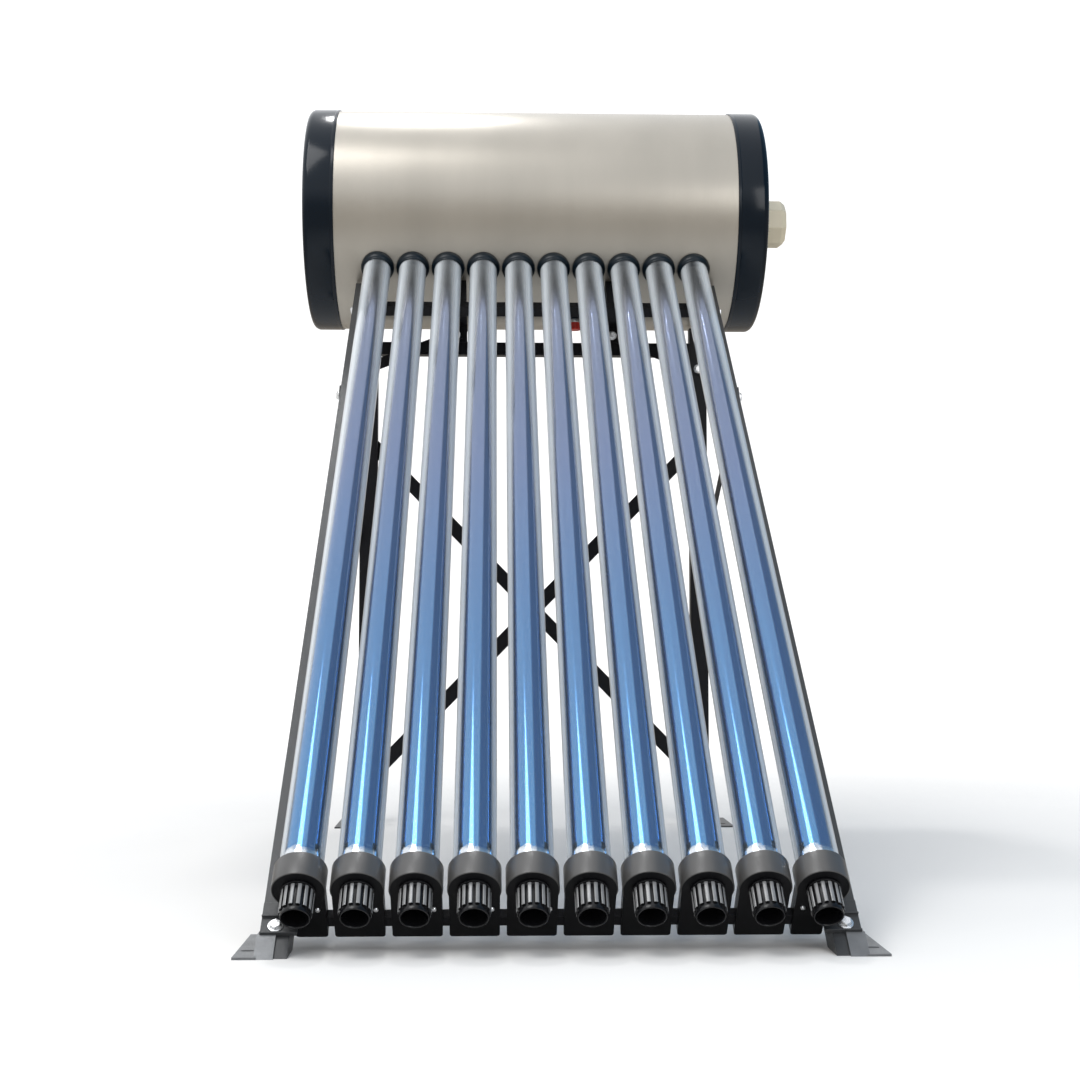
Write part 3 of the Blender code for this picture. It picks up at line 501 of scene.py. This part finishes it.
def core_profile():
    """The coated inner tube, closed just inside the outer glass's open end."""
    top = TUBE_TOP + 0.004
    return dome(ABSORBER_RADIUS, -GETTER_SPACE, 10) + [(ABSORBER_RADIUS, top), (0, top)]


def film_profile():
    """The getter film: a thin cup that lies just inside the outer glass."""
    outer = TUBE_RADIUS - GLASS_WALL - 0.0002
    inner = outer - 0.0003
    top = -0.052
    profile = dome(outer, -GLASS_WALL - 0.0002, 8) + [(outer, top), (inner, top)]
    return profile + dome(inner, -GLASS_WALL - 0.0005, 8)[::-1]


def make_tubes():
    """Per tube: the outer glass, the coated inner tube and the getter film."""
    for number, place in enumerate(TUBES, 1):
        glass = turned(f"tube_glass_{number:02}", glass_profile(), 64)
        finish_piece(glass, GLASS, "heater", place, (f"evacuated_tube_{number:02}",))
        core = turned(f"tube_absorber_{number:02}", core_profile(), 64)
        finish_piece(core, ABSORBER, "heater", place)
        film = turned(f"tube_getter_{number:02}", film_profile(), 48)
        finish_piece(film, GETTER, "heater", place)


def make_dust_seals():
    """Soft rings that close the gap between the shell and each tube."""
    above_axis = abs((TUBES[0].translation - TANK_CENTRE).dot(BELOW))
    surface_depth = math.sqrt(TANK_RADIUS**2 - above_axis**2)
    centre_run = (TANK_CENTRE - TUBES[0].translation).dot(DOWN)
    base = centre_run + surface_depth
    bore = TUBE_RADIUS + 0.0002
    sunk = [(bore, base - 0.008), (bore + 0.0053, base - 0.008)]
    swell = [
        (bore + 0.0060, base - 0.001), (bore + 0.0061, base + 0.004), (bore + 0.0057, base + 0.008),
    ]
    shoulder = [
        (bore + 0.0046, base + 0.0115), (bore + 0.0030, base + 0.0140), (bore + 0.0016, base + 0.0150),
    ]
    lip = [(bore + 0.0008, base + 0.0165), (bore + 0.0006, base + 0.0195), (bore, base + 0.0200)]
    profile = sunk + swell + shoulder + lip
    for number, place in enumerate(TUBES, 1):
        piece = turned(f"dust_seal_{number:02}", profile, 56)
        finish_piece(piece, RUBBER, "heater", place)


# Tail rack


def holder_limits(number):
    """How far a holder's block may go to the left and to the right before it meets a front leg."""
    x = TUBES[number - 1].translation.x - MIDDLE
    left = min(HOLDER_HALF_WIDTH, x + RACK_HALF)
    right = min(HOLDER_HALF_WIDTH, RACK_HALF - x)
    return left, right


def block_outline(left, right):
    """A block with rounded lower corners, whose upper end is a disc just inside the collar's skirt."""
    radius = COLLAR_RADIUS - COLLAR_SKIRT
    corner = 0.004
    steps = 40
    start = math.asin(right / radius)
    end = 2 * math.pi - math.asin(left / radius)
    turns = [start + (end - start) * i / steps for i in range(steps + 1)]
    outline = [(radius * math.sin(turn), radius * math.cos(turn)) for turn in turns]
    foot = HOLDER_DEPTH - corner
    outline += circle(corner, 4, (corner - left, foot), math.pi, math.pi / 2)
    outline += circle(corner, 4, (right - corner, foot), math.pi / 2, 0)
    return outline


def collar_profile():
    """A ring with rounded lips, a ledge that stops the seal, and a thin skirt round the block's disc."""
    outer = COLLAR_RADIUS
    top = COLLAR_TOP
    lip = 0.0022
    skirt = outer - COLLAR_SKIRT + 0.0001
    back = HOLDER_BACK - 0.0001
    return [
        (COLLAR_BORE, top + 0.0015), (COLLAR_BORE + 0.001, top + 0.0003), (outer - lip, top),
        (outer - lip / 3, top + lip / 3), (outer, top + lip), (outer, COLLAR_FOOT - 0.0006),
        (outer - 0.0005, COLLAR_FOOT), (skirt, COLLAR_FOOT), (skirt, back), (THREAD_HOLE, back),
        (THREAD_HOLE, back - 0.004), (COLLAR_BORE, back - 0.004),
    ]


def make_holders():
    """Per tube: the collar, and the block that hangs from it down to the rail."""
    for number, place in enumerate(TUBES, 1):
        collar = bevel(turned(f"tail_collar_{number:02}", collar_profile(), 96), 0.0004, 2, 40)
        replaced = ("tail_rack",) if number == 1 else ()
        finish_piece(collar, COLLAR, "heater", place, replaced)
        shape = bmesh.new()
        outline = block_outline(*holder_limits(number))
        add_plate(shape, outline, circle(THREAD_HOLE, 48), HOLDER_BACK, COLLAR_FOOT)
        block = bevel(object_from(shape, f"tail_holder_{number:02}"), 0.0008, 2, 40)
        # The near black holder is painted shade under the collar's rim
        finish_piece(block, HOLDER_PAINTED_SHADE, "heater", place)


def end_plate_outline():
    """An end plate in section: a sheet over the leg's upper face, with two raised flanges."""
    near = LEG_FACE - END_SHEET
    proud = near - 0.004
    return [
        (LEG_FACE, 0.0525), (LEG_FACE, 0.0005), (near, 0.0005), (near, 0.0230), (proud, 0.0230),
        (proud, 0.0255), (near, 0.0255), (near, 0.0500), (proud, 0.0500), (proud, 0.0525),
    ]


def make_rail():
    """The bar behind the holders and the flanged plates over the legs."""
    shape = bmesh.new()
    middle = Matrix.Translation((MIDDLE - TUBES[0].translation.x, 0, 0))
    low = (-RACK_HALF, RAIL_NEAR, RAIL_TOP)
    high = (RACK_HALF, RAIL_FAR, RAIL_FOOT)
    add_box(shape, low, high, middle)
    piece = bevel(object_from(shape, "tail_rail"), 0.0012)
    # The rail takes the powder coat's near black copy, which is painted shade
    finish_piece(piece, FRAME_COAT_PAINTED_SHADE, "heater", TUBES[0])
    section_to_tube = Matrix(((0, 0, 1, 0), (1, 0, 0, 0), (0, 1, 0, 0), (0, 0, 0, 1)))
    for name, side in SIDES:
        shape = bmesh.new()
        low_x, high_x = sorted((side * (RACK_HALF - 0.009), side * LEG_OUTER))
        add_prism(shape, end_plate_outline(), low_x, high_x, middle @ section_to_tube)
        piece = bevel(object_from(shape, f"rack_end_{name}"), 0.0006, 2)
        # The end plates take the powder coat's lighter copy, which is painted light
        finish_piece(piece, FRAME_COAT_PAINTED_LIGHT, "heater", TUBES[0])


def cup_body_profile():
    """The cup without its ribs: thread, shoulder, barrel, rolled ring, and the pocket for the rest."""
    top = CUP_THREAD_TOP
    foot = CUP_THREAD_FOOT
    end = CUP_RING_FOOT
    floor_top, floor_foot = CUP_FLOOR
    thread = [
        (CUP_POCKET, top), (CUP_THREAD - 0.0008, top), (CUP_THREAD, top + 0.0008), (CUP_THREAD, foot),
    ]
    shoulder = [(CUP_SHOULDER, foot + 0.0004), (CUP_SHOULDER, foot + 0.0034), (CUP_BARREL + 0.0008, 0.0152)]
    barrel = [(CUP_BARREL, 0.0165), (CUP_BARREL - 0.0004, end - 0.0090), (CUP_BARREL, end - 0.0075)]
    ring = [
        (CUP_RING - 0.0001, end - 0.0055), (CUP_RING, end - 0.0030), (CUP_RING - 0.0005, end - 0.0008),
        (CUP_RING - 0.0013, end), (CUP_RING - 0.0021, end - 0.0003), (CUP_BORE + 0.0003, end - 0.0015),
    ]
    bore = [(CUP_BORE, end - 0.0040), (CUP_BORE, floor_foot + 0.0005)]
    pocket = [(CUP_HOLE, floor_foot), (CUP_HOLE, floor_top), (CUP_POCKET, floor_top)]
    return thread + shoulder + barrel + ring + bore + pocket


def add_thread(shape, radius, start, end):
    """Rings that stand for the cup's thread, one to each turn of it."""
    count = int((end - start) / CUP_LEAD)
    for i in range(count):
        z = start + CUP_LEAD * (i + 0.5)
        ring = [(radius - 0.0006, z - 0.0010), (radius + 0.0003, z), (radius - 0.0006, z + 0.0010)]
        add_turned(shape, ring, 40)


def rib_outline():
    """A tapered bar with a rounded back, in section across the cup's axis."""
    half = RIB_HALF_WIDTH
    near = [
        (0.0180, -half), (RIB_RADIUS - 0.0009, 0.0003 - half), (RIB_RADIUS - 0.0002, 0.0012 - half),
    ]
    far = [(x, -y) for x, y in near[::-1]]
    return near + [(RIB_RADIUS, 0)] + far


def paint_rib_highlight(piece):
    """Puts the paler material on the ribs' outward faces: a painted highlight where light catches the cups'
    black ribs.
    """
    piece.data.materials.append(RIB_PAINTED_HIGHLIGHT)
    for face in piece.data.polygons:
        away = face.center.xy.length
        outward = face.normal.xy.dot(face.center.xy) > 0.8 * away
        on_rib = RIB_RUN[0] + 0.0015 < face.center.z < RIB_RUN[1] - 0.0008
        if away > RIB_RADIUS - 0.0013 and outward and on_rib:
            face.material_index = 1


def make_tail_cups():
    """Ribbed cups that screw into the holders."""
    for number, place in enumerate(TUBES, 1):
        shape = bmesh.new()
        add_turned(shape, cup_body_profile(), 64)
        add_thread(shape, CUP_THREAD - 0.0002, CUP_THREAD_TOP + 0.0005, CUP_THREAD_FOOT - 0.0007)
        for i in range(RIB_COUNT):
            turn = Matrix.Rotation(2 * math.pi * i / RIB_COUNT, 4, "Z")
            add_prism(shape, rib_outline(), *RIB_RUN, turn)
        piece = bevel(object_from(shape, f"tail_cup_piece_{number:02}"), 0.0005, 2, 40)
        body = f"tail_cup_{number:02}"
        finish_piece(piece, CUP, body, place, (body,))
        paint_rib_highlight(piece)


# Tank


def make_shell():
    """The painted shell with its folded seam along the back."""
    half = (SHELL_HIGH.x - SHELL_LOW.x) / 2
    inner = TANK_RADIUS - SHELL_SHEET
    profile = [(inner, -half), (TANK_RADIUS, -half), (TANK_RADIUS, half), (inner, half)]
    shell = turned("tank_shell_piece", profile, 192)
    finish_piece(shell, PAINT, "heater", along_tank(), ("tank_shell",))
    shape = bmesh.new()
    seam_half = half - 0.055
    add_box(shape, (-0.0006, -0.006, -seam_half), (0.0014, 0.006, seam_half))
    seam = bevel(object_from(shape, "tank_seam"), 0.0006, 2)
    turn = Matrix.Rotation(SEAM_TURN, 4, "X") @ Matrix.Translation((0, TANK_RADIUS, 0))
    upright = Matrix.Rotation(math.pi / 2, 4, "Y") @ Matrix.Rotation(math.pi / 2, 4, "Z")
    place = Matrix.Translation(TANK_CENTRE) @ turn @ upright
    finish_piece(seam, PAINT, "heater", place)


def cover_band(start, radius, inner):
    """The cover's rolled lip and the start of its band."""
    flat = radius - 0.0004
    lip = [(inner, start), (radius - 0.0010, start), (radius, start + 0.0012), (radius, start + 0.0060)]
    return lip + [(radius - 0.0009, start + 0.0075), (flat, start + 0.0100)]


def cover_corner(radius, edge):
    """The rounded corner between the band and the face."""
    points = []
    for i in range(9):
        turn = math.pi / 2 * i / 8
        across = radius - 0.0004 - COVER_EDGE + COVER_EDGE * math.cos(turn)
        points.append((across, edge - COVER_EDGE + COVER_EDGE * math.sin(turn)))
    return points


def cover_face(edge, hole):
    """The ring groove and the domed face, as far as the port's hole or the axis."""
    groove_floor = edge - 0.0016
    points = [(GROOVE_OUTER, edge + 0.0004), (GROOVE_OUTER - 0.005, groove_floor)]
    points += [(FACE_RADIUS + 0.005, groove_floor), (FACE_RADIUS, edge + 0.0014)]
    for i in range(1, 8):
        share = i / 8
        rise = 0.0014 + 0.0066 * math.sin(math.pi / 2 * share)
        points.append((FACE_RADIUS * (1 - share) + hole * share, edge + rise))
    return points


def cover_profile(start, face, radius, hole):
    """Half the section of an end cover, from its lip round to its inside."""
    inner = radius - 0.0024
    edge = face - 0.008
    outside = cover_band(start, radius, inner) + cover_corner(radius, edge) + cover_face(edge, hole)
    middle = [(hole, face), (hole, face - COVER_WALL)]
    back = [(FACE_RADIUS, edge + 0.0014 - COVER_WALL), (inner - COVER_EDGE, edge - COVER_WALL)]
    profile = outside + middle + back + [(inner, edge - COVER_EDGE)]
    if hole:
        return profile
    # A face without a hole starts on the axis
    first = profile.index(middle[1])
    return profile[first:] + profile[:first]


def make_covers():
    """The end covers; only the right one has a hole, for the heater port."""
    for name, side in SIDES:
        low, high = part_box(f"end_cover_{name}")
        start = abs((high.x if side < 0 else low.x) - MIDDLE)
        face = abs((low.x if side < 0 else high.x) - MIDDLE)
        radius = (high.z - low.z) / 2
        hole = PORT_HOLE if side > 0 else 0.0
        piece = turned(f"end_cover_piece_{name}", cover_profile(start, face, radius, hole), 160)
        finish_piece(piece, COVER, "heater", along_tank(side), (f"end_cover_{name}",))


def cap_profile(face, high, corner):
    """Half the section of the heater cap: narrow neck, wide grip, bevelled rim and sunk top."""
    neck = corner * 0.93
    sunk = high - 0.004
    grip = [(0, face + 0.003), (neck, face + 0.003), (neck, face + 0.012), (corner, face + 0.015)]
    rim = [(corner, high - 0.011), (corner - 0.009, high), (corner - 0.020, high)]
    return grip + rim + [(corner - 0.023, sunk), (0, sunk)]


def make_heater_cap():
    """The eight-sided cap over the heater port, with a bar across its top, on a rubber washer."""
    cap_low, cap_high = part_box("heater_cap")
    high = cap_high.x - MIDDLE
    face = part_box("end_cover_right")[1].x - MIDDLE
    corner = (cap_high.z - cap_low.z) / 2 / math.cos(math.pi / 8)
    shape = bmesh.new()
    add_turned(shape, cap_profile(face, high, corner), 8, Matrix.Rotation(math.pi / 8, 4, "Z"))
    add_box(shape, (-0.006, -0.021, high - 0.008), (0.006, 0.021, high - 0.001))
    cap = bevel(object_from(shape, "heater_cap_piece", 25), 0.0016, 3, 25)
    finish_piece(cap, IVORY, "heater", along_tank(), ("heater_cap",))
    bore = 0.030
    rim = 0.0485
    ring = [
        (bore, face - 0.001), (rim - 0.001, face - 0.001), (rim, face), (rim, face + 0.002),
        (rim - 0.001, face + 0.0032), (bore, face + 0.0032),
    ]
    washer = turned("heater_cap_washer", ring, 64)
    finish_piece(washer, RUBBER, "heater", along_tank())


def make_drain_plug(across, radius, low, top):
    """The red screw plug with twelve grips."""
    shape = bmesh.new()
    body = radius * 0.92
    add_turned(shape, [(0, low), (radius * 0.86, low), (body, low + 0.001), (body, top), (0, top)], 40)
    root = radius * 0.8
    grip = [(root, -0.002), (radius, -0.0013), (radius, 0.0013), (root, 0.002)]
    for i in range(12):
        turn = Matrix.Rotation(math.pi / 6 * i, 4, "Z")
        add_prism(shape, grip, low + 0.0015, top - 0.002, turn)
    plug = bevel(object_from(shape, "drain_plug_piece"), 0.0004, 2, 40)
    finish_piece(plug, RED, "heater", across, ("drain_plug",))


def make_drain():
    """The plug under the shell, and the steel stub and rubber grommet above it."""
    low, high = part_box("drain_plug")
    centre = (low + high) / 2
    across = Matrix.Translation((centre.x, centre.y, 0))
    top = high.z - PLUG_SPIGOT
    make_drain_plug(across, (high.x - low.x) / 2, low.z, top)
    bore = 0.0082
    pipe = 0.0104
    wall = [(bore, top + 0.0002), (pipe, top + 0.0002), (pipe, top + 0.014), (bore, top + 0.014)]
    stub = turned("drain_stub", wall, 32)
    finish_piece(stub, ZINC, "heater", across)
    hole = pipe + 0.0002
    flange = [
        (hole, top + 0.0065), (0.0190, top + 0.0065), (0.0196, top + 0.0085),
        (0.0150, top + 0.0120), (hole, top + 0.0120),
    ]
    grommet = turned("drain_grommet", flange, 40)
    finish_piece(grommet, RUBBER, "heater", across)


# Frame


def add_bolt(shape, point, direction, size=0.0045):
    """A washer and a domed hexagon head standing on a face; the size is the bolt's radius."""
    place = facing(point, direction)
    rim = size * 2.2
    washer = [(0, -0.0001), (rim, -0.0001), (rim, 0.0012), (size * 2.05, 0.0015), (0, 0.0015)]
    add_turned(shape, washer, 32, place)
    flats = size * 1.75
    head = [(0, 0.0015), (flats, 0.0015), (flats, 0.0048), (size * 1.45, 0.0058), (0, 0.0060)]
    add_turned(shape, head, 6, place)


def strap_ends(name):
    """The two bolt points of a strap, on its thickness' middle, and the direction of its thickness."""
    points = np.array([vertex.co[:] for vertex in NODES[name].data.vertices])
    centre = points.mean(axis=0)
    _, _, axes = np.linalg.svd(points - centre)
    runs = (points - centre) @ axes[0]
    half = (runs.max() - runs.min()) / 2 - STRAP_TAIL
    middle = centre + axes[0] * (runs.max() + runs.min()) / 2
    thin = Vector(axes[2])
    thickness = np.ptp((points - centre) @ axes[2])
    return [Vector(middle + axes[0] * half * side) for side in (-1, 1)], thin, thickness


def strap_bolts(shape, name, outward):
    """A bolt at each end of a strap, on the strap's face that looks outward."""
    ends, thin, thickness = strap_ends(name)
    if thin.dot(Vector(outward)) < 0:
        thin = -thin
    for end in ends:
        add_bolt(shape, end + thin * thickness / 2, thin)


def foot_bolts(shape, name, side):
    """Two bolts through a rear foot's upright wall, on its outer face."""
    low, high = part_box(f"rear_foot_{name}")
    wall = low.x + FOOT_SHEET if side > 0 else high.x - FOOT_SHEET
    for share in (0.42, 0.62):
        y = low.y + (high.y - low.y) * share
        add_bolt(shape, Vector((wall, y, FOOT_BOLT_HEIGHT)), (side, 0, 0))


def rack_bolt(shape, side):
    """The bolt through an end plate of the rack into a front leg."""
    leg = TUBES[0].translation.copy()
    leg.x = MIDDLE + side * LEG_MIDDLE
    add_bolt(shape, leg + BELOW * (LEG_FACE - END_SHEET) + DOWN * RACK_BOLT_RUN, -BELOW, 0.0046)


def bar_bolts(shape, name, side):
    """The bolt that holds the rear bar to its leg, and the one at the front bar's end."""
    leg_low, leg_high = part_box(f"rear_leg_{name}")
    outside = leg_high.x if side > 0 else leg_low.x
    rear_low, rear_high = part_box("rear_bar")
    y = (leg_low.y + leg_high.y) / 2
    add_bolt(shape, Vector((outside, y, (rear_low.z + rear_high.z) / 2)), (side, 0, 0))
    low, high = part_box("front_bar")
    y = (low.y + high.y) / 2 + 0.004
    z = (low.z + high.z) / 2 - 0.003
    add_bolt(shape, Vector((outside, y, z)), (side, 0, 0))


def cradle_bolts(shape, name):
    """Two small bolts that hold a cradle's tab down on the rear bar."""
    low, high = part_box(f"cradle_{name}")
    bar_low, bar_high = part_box("rear_bar")
    for offset in (-0.013, 0.013):
        x = (low.x + high.x) / 2 + offset
        add_bolt(shape, Vector((x, bar_low.y + 0.016, bar_high.z + 0.0043)), (0, 0, 1), 0.0035)


def make_bolts():
    """All the stand's bolts, as one piece."""
    shape = bmesh.new()
    for name, side in SIDES:
        strap_bolts(shape, f"side_brace_{name}", (side, 0, 0))
        strap_bolts(shape, f"knee_brace_{name}", (0, -1, 0))
        foot_bolts(shape, name, side)
        rack_bolt(shape, side)
        bar_bolts(shape, name, side)
        cradle_bolts(shape, name)
    for name in ("cross_brace_a", "cross_brace_b"):
        strap_bolts(shape, name, (0, 1, 0))
    piece = object_from(shape, "frame_bolts", 25)
    finish_piece(piece, ZINC, "heater")


def make_holder_screws():
    """A small pan-head screw beside every cup."""
    shape = bmesh.new()
    for number, place in enumerate(TUBES, 1):
        side = -1 if number == TUBE_COUNT else 1
        centre = place @ Matrix.Translation((side * 0.0225, 0.036, COLLAR_FOOT))
        head = [(0, 0), (0.0034, 0), (0.0036, 0.0008), (0.0030, 0.0022), (0.0016, 0.0029), (0, 0.0031)]
        add_turned(shape, head, 24, centre)
    piece = object_from(shape, "holder_screws", 25)
    finish_piece(piece, ZINC, "heater")


def dress_nodes():
    """Materials for the CAD nodes that stay, and softened edges on the stand's."""
    # The stand's parts take the powder coat as its painted-shade copy or as its painted-light copy
    plain = {
        "front_leg": FRAME_COAT_PAINTED_LIGHT, "rear_leg": FRAME_COAT_PAINTED_SHADE, "front_bar": FRAME_COAT_PAINTED_SHADE, "rear_bar": FRAME_COAT_PAINTED_SHADE,
        "cross_brace": FRAME_COAT_PAINTED_SHADE, "side_brace": FRAME_COAT_PAINTED_SHADE, "knee_brace": FRAME_COAT_PAINTED_SHADE, "cradle": FRAME_COAT_PAINTED_SHADE,
        "front_foot": GREY, "rear_foot": FRAME_COAT_PAINTED_LIGHT,
        "inner_tank": STEEL, "insulation_foam": FOAM, "tube_rest": RUBBER,
    }
    for name, part in NODES.items():
        for start, material in plain.items():
            if name.startswith(start):
                part.data.materials.clear()
                part.data.materials.append(material)
                if material in (FRAME_COAT_PAINTED_SHADE, FRAME_COAT_PAINTED_LIGHT, GREY):
                    bevel(part, 0.0007, 2)


# Stage


def make_floor():
    """A pale round floor that fades out into the backdrop."""
    made, tree, shader = new_material("floor")
    drift = noise(tree, 0.8, 2.0)
    colours = ramp(tree, drift, [(0.3, (0.78, 0.765, 0.74)), (0.7, (0.82, 0.805, 0.78))])
    tree.links.new(colours, shader.inputs["Base Color"])
    place = tree.nodes.new("ShaderNodeTexCoord")
    away = tree.nodes.new("ShaderNodeVectorMath")
    away.operation = "LENGTH"
    tree.links.new(place.outputs["Object"], away.inputs[0])
    tree.links.new(spread(tree, away.outputs["Value"], 1.0, 0.0, 0.9, 3.2), shader.inputs["Alpha"])
    shader.inputs["Roughness"].default_value = 0.8
    shader.inputs["Specular IOR Level"].default_value = 0.2
    shape = bmesh.new()
    bmesh.ops.create_circle(shape, cap_ends=True, segments=96, radius=3.3)
    floor = object_from(shape, "floor")
    floor.data.materials.append(made)


def area_light(name, location, target, size, power):
    """A square light that looks at a point; its size is in metres and its power in watts."""
    light = bpy.data.lights.new(name, "AREA")
    light.shape = "SQUARE"
    light.size = size
    light.energy = power
    made = bpy.data.objects.new(name, light)
    bpy.context.scene.collection.objects.link(made)
    made.location = location
    made.rotation_euler = (Vector(target) - Vector(location)).to_track_quat("-Z", "Y").to_euler()


def make_world():
    """A white backdrop. The light from it is bright up to the left and dim to the right and low down."""
    world = bpy.data.worlds.new("studio")
    world.use_nodes = True
    tree = world.node_tree
    background = tree.nodes["Background"]
    place = tree.nodes.new("ShaderNodeTexCoord")
    split = tree.nodes.new("ShaderNodeSeparateXYZ")
    tree.links.new(place.outputs["Generated"], split.inputs["Vector"])
    left = spread(tree, split.outputs["X"], 1, 0, 0.26, 0.36)
    high = spread(tree, split.outputs["Z"], 0, 1, 0.05, 0.30)
    sky = ramp(tree, left, [(0.0, (0.14, 0.24, 0.36)), (1.0, (0.95, 0.97, 1.0))])
    lit = node(tree, "ShaderNodeMixRGB", Color1=(0.34, 0.31, 0.27, 1))
    tree.links.new(high, lit.inputs["Fac"])
    tree.links.new(sky, lit.inputs["Color2"])
    path = tree.nodes.new("ShaderNodeLightPath")
    seen = node(tree, "ShaderNodeMixRGB", Color2=(1, 1, 1, 1))
    tree.links.new(path.outputs["Is Camera Ray"], seen.inputs["Fac"])
    tree.links.new(lit.outputs["Color"], seen.inputs["Color1"])
    tree.links.new(seen.outputs["Color"], background.inputs["Color"])
    background.inputs["Strength"].default_value = 1.2
    bpy.context.scene.world = world


def make_lights():
    """The backdrop, a small hard light, a broad soft one and a weak one from the front."""
    bpy.context.scene.view_settings.view_transform = "Standard"
    make_world()
    area_light("sun", (-0.45, 1.75, 4.2), (0, 0, 0.7), size=0.35, power=30)
    area_light("key", (-1.5, -1.3, 3.9), (0, 0.2, 0.8), size=1.8, power=55)
    area_light("fill", (1.8, -3.4, 2.2), (0, 0, 0.7), size=1.6, power=30)


def make_camera():
    """A camera in front of the tubes, placed from the middle of the row of collars."""
    tips = (TUBES[0].translation + TUBES[-1].translation) / 2
    collars = tips + DOWN * (COLLAR_TOP + COLLAR_FOOT) / 2
    from_collars = Vector((-0.0876, -2.0712, 0.3056))
    pitch = math.radians(3.69)  # upwards
    yaw = math.radians(1.65)  # to the right
    data = bpy.data.cameras.new("camera")
    data.sensor_width = 36
    data.lens = 52.81
    camera = bpy.data.objects.new("camera", data)
    bpy.context.scene.collection.objects.link(camera)
    camera.location = collars + from_collars
    camera.rotation_euler = (math.pi / 2 + pitch, 0, -yaw)
    bpy.context.scene.camera = camera


make_camera()
make_lights()
make_floor()
make_tubes()
make_dust_seals()
make_holders()
make_rail()
make_tail_cups()
make_shell()
make_covers()
make_heater_cap()
make_drain()
make_bolts()
make_holder_screws()
dress_nodes()
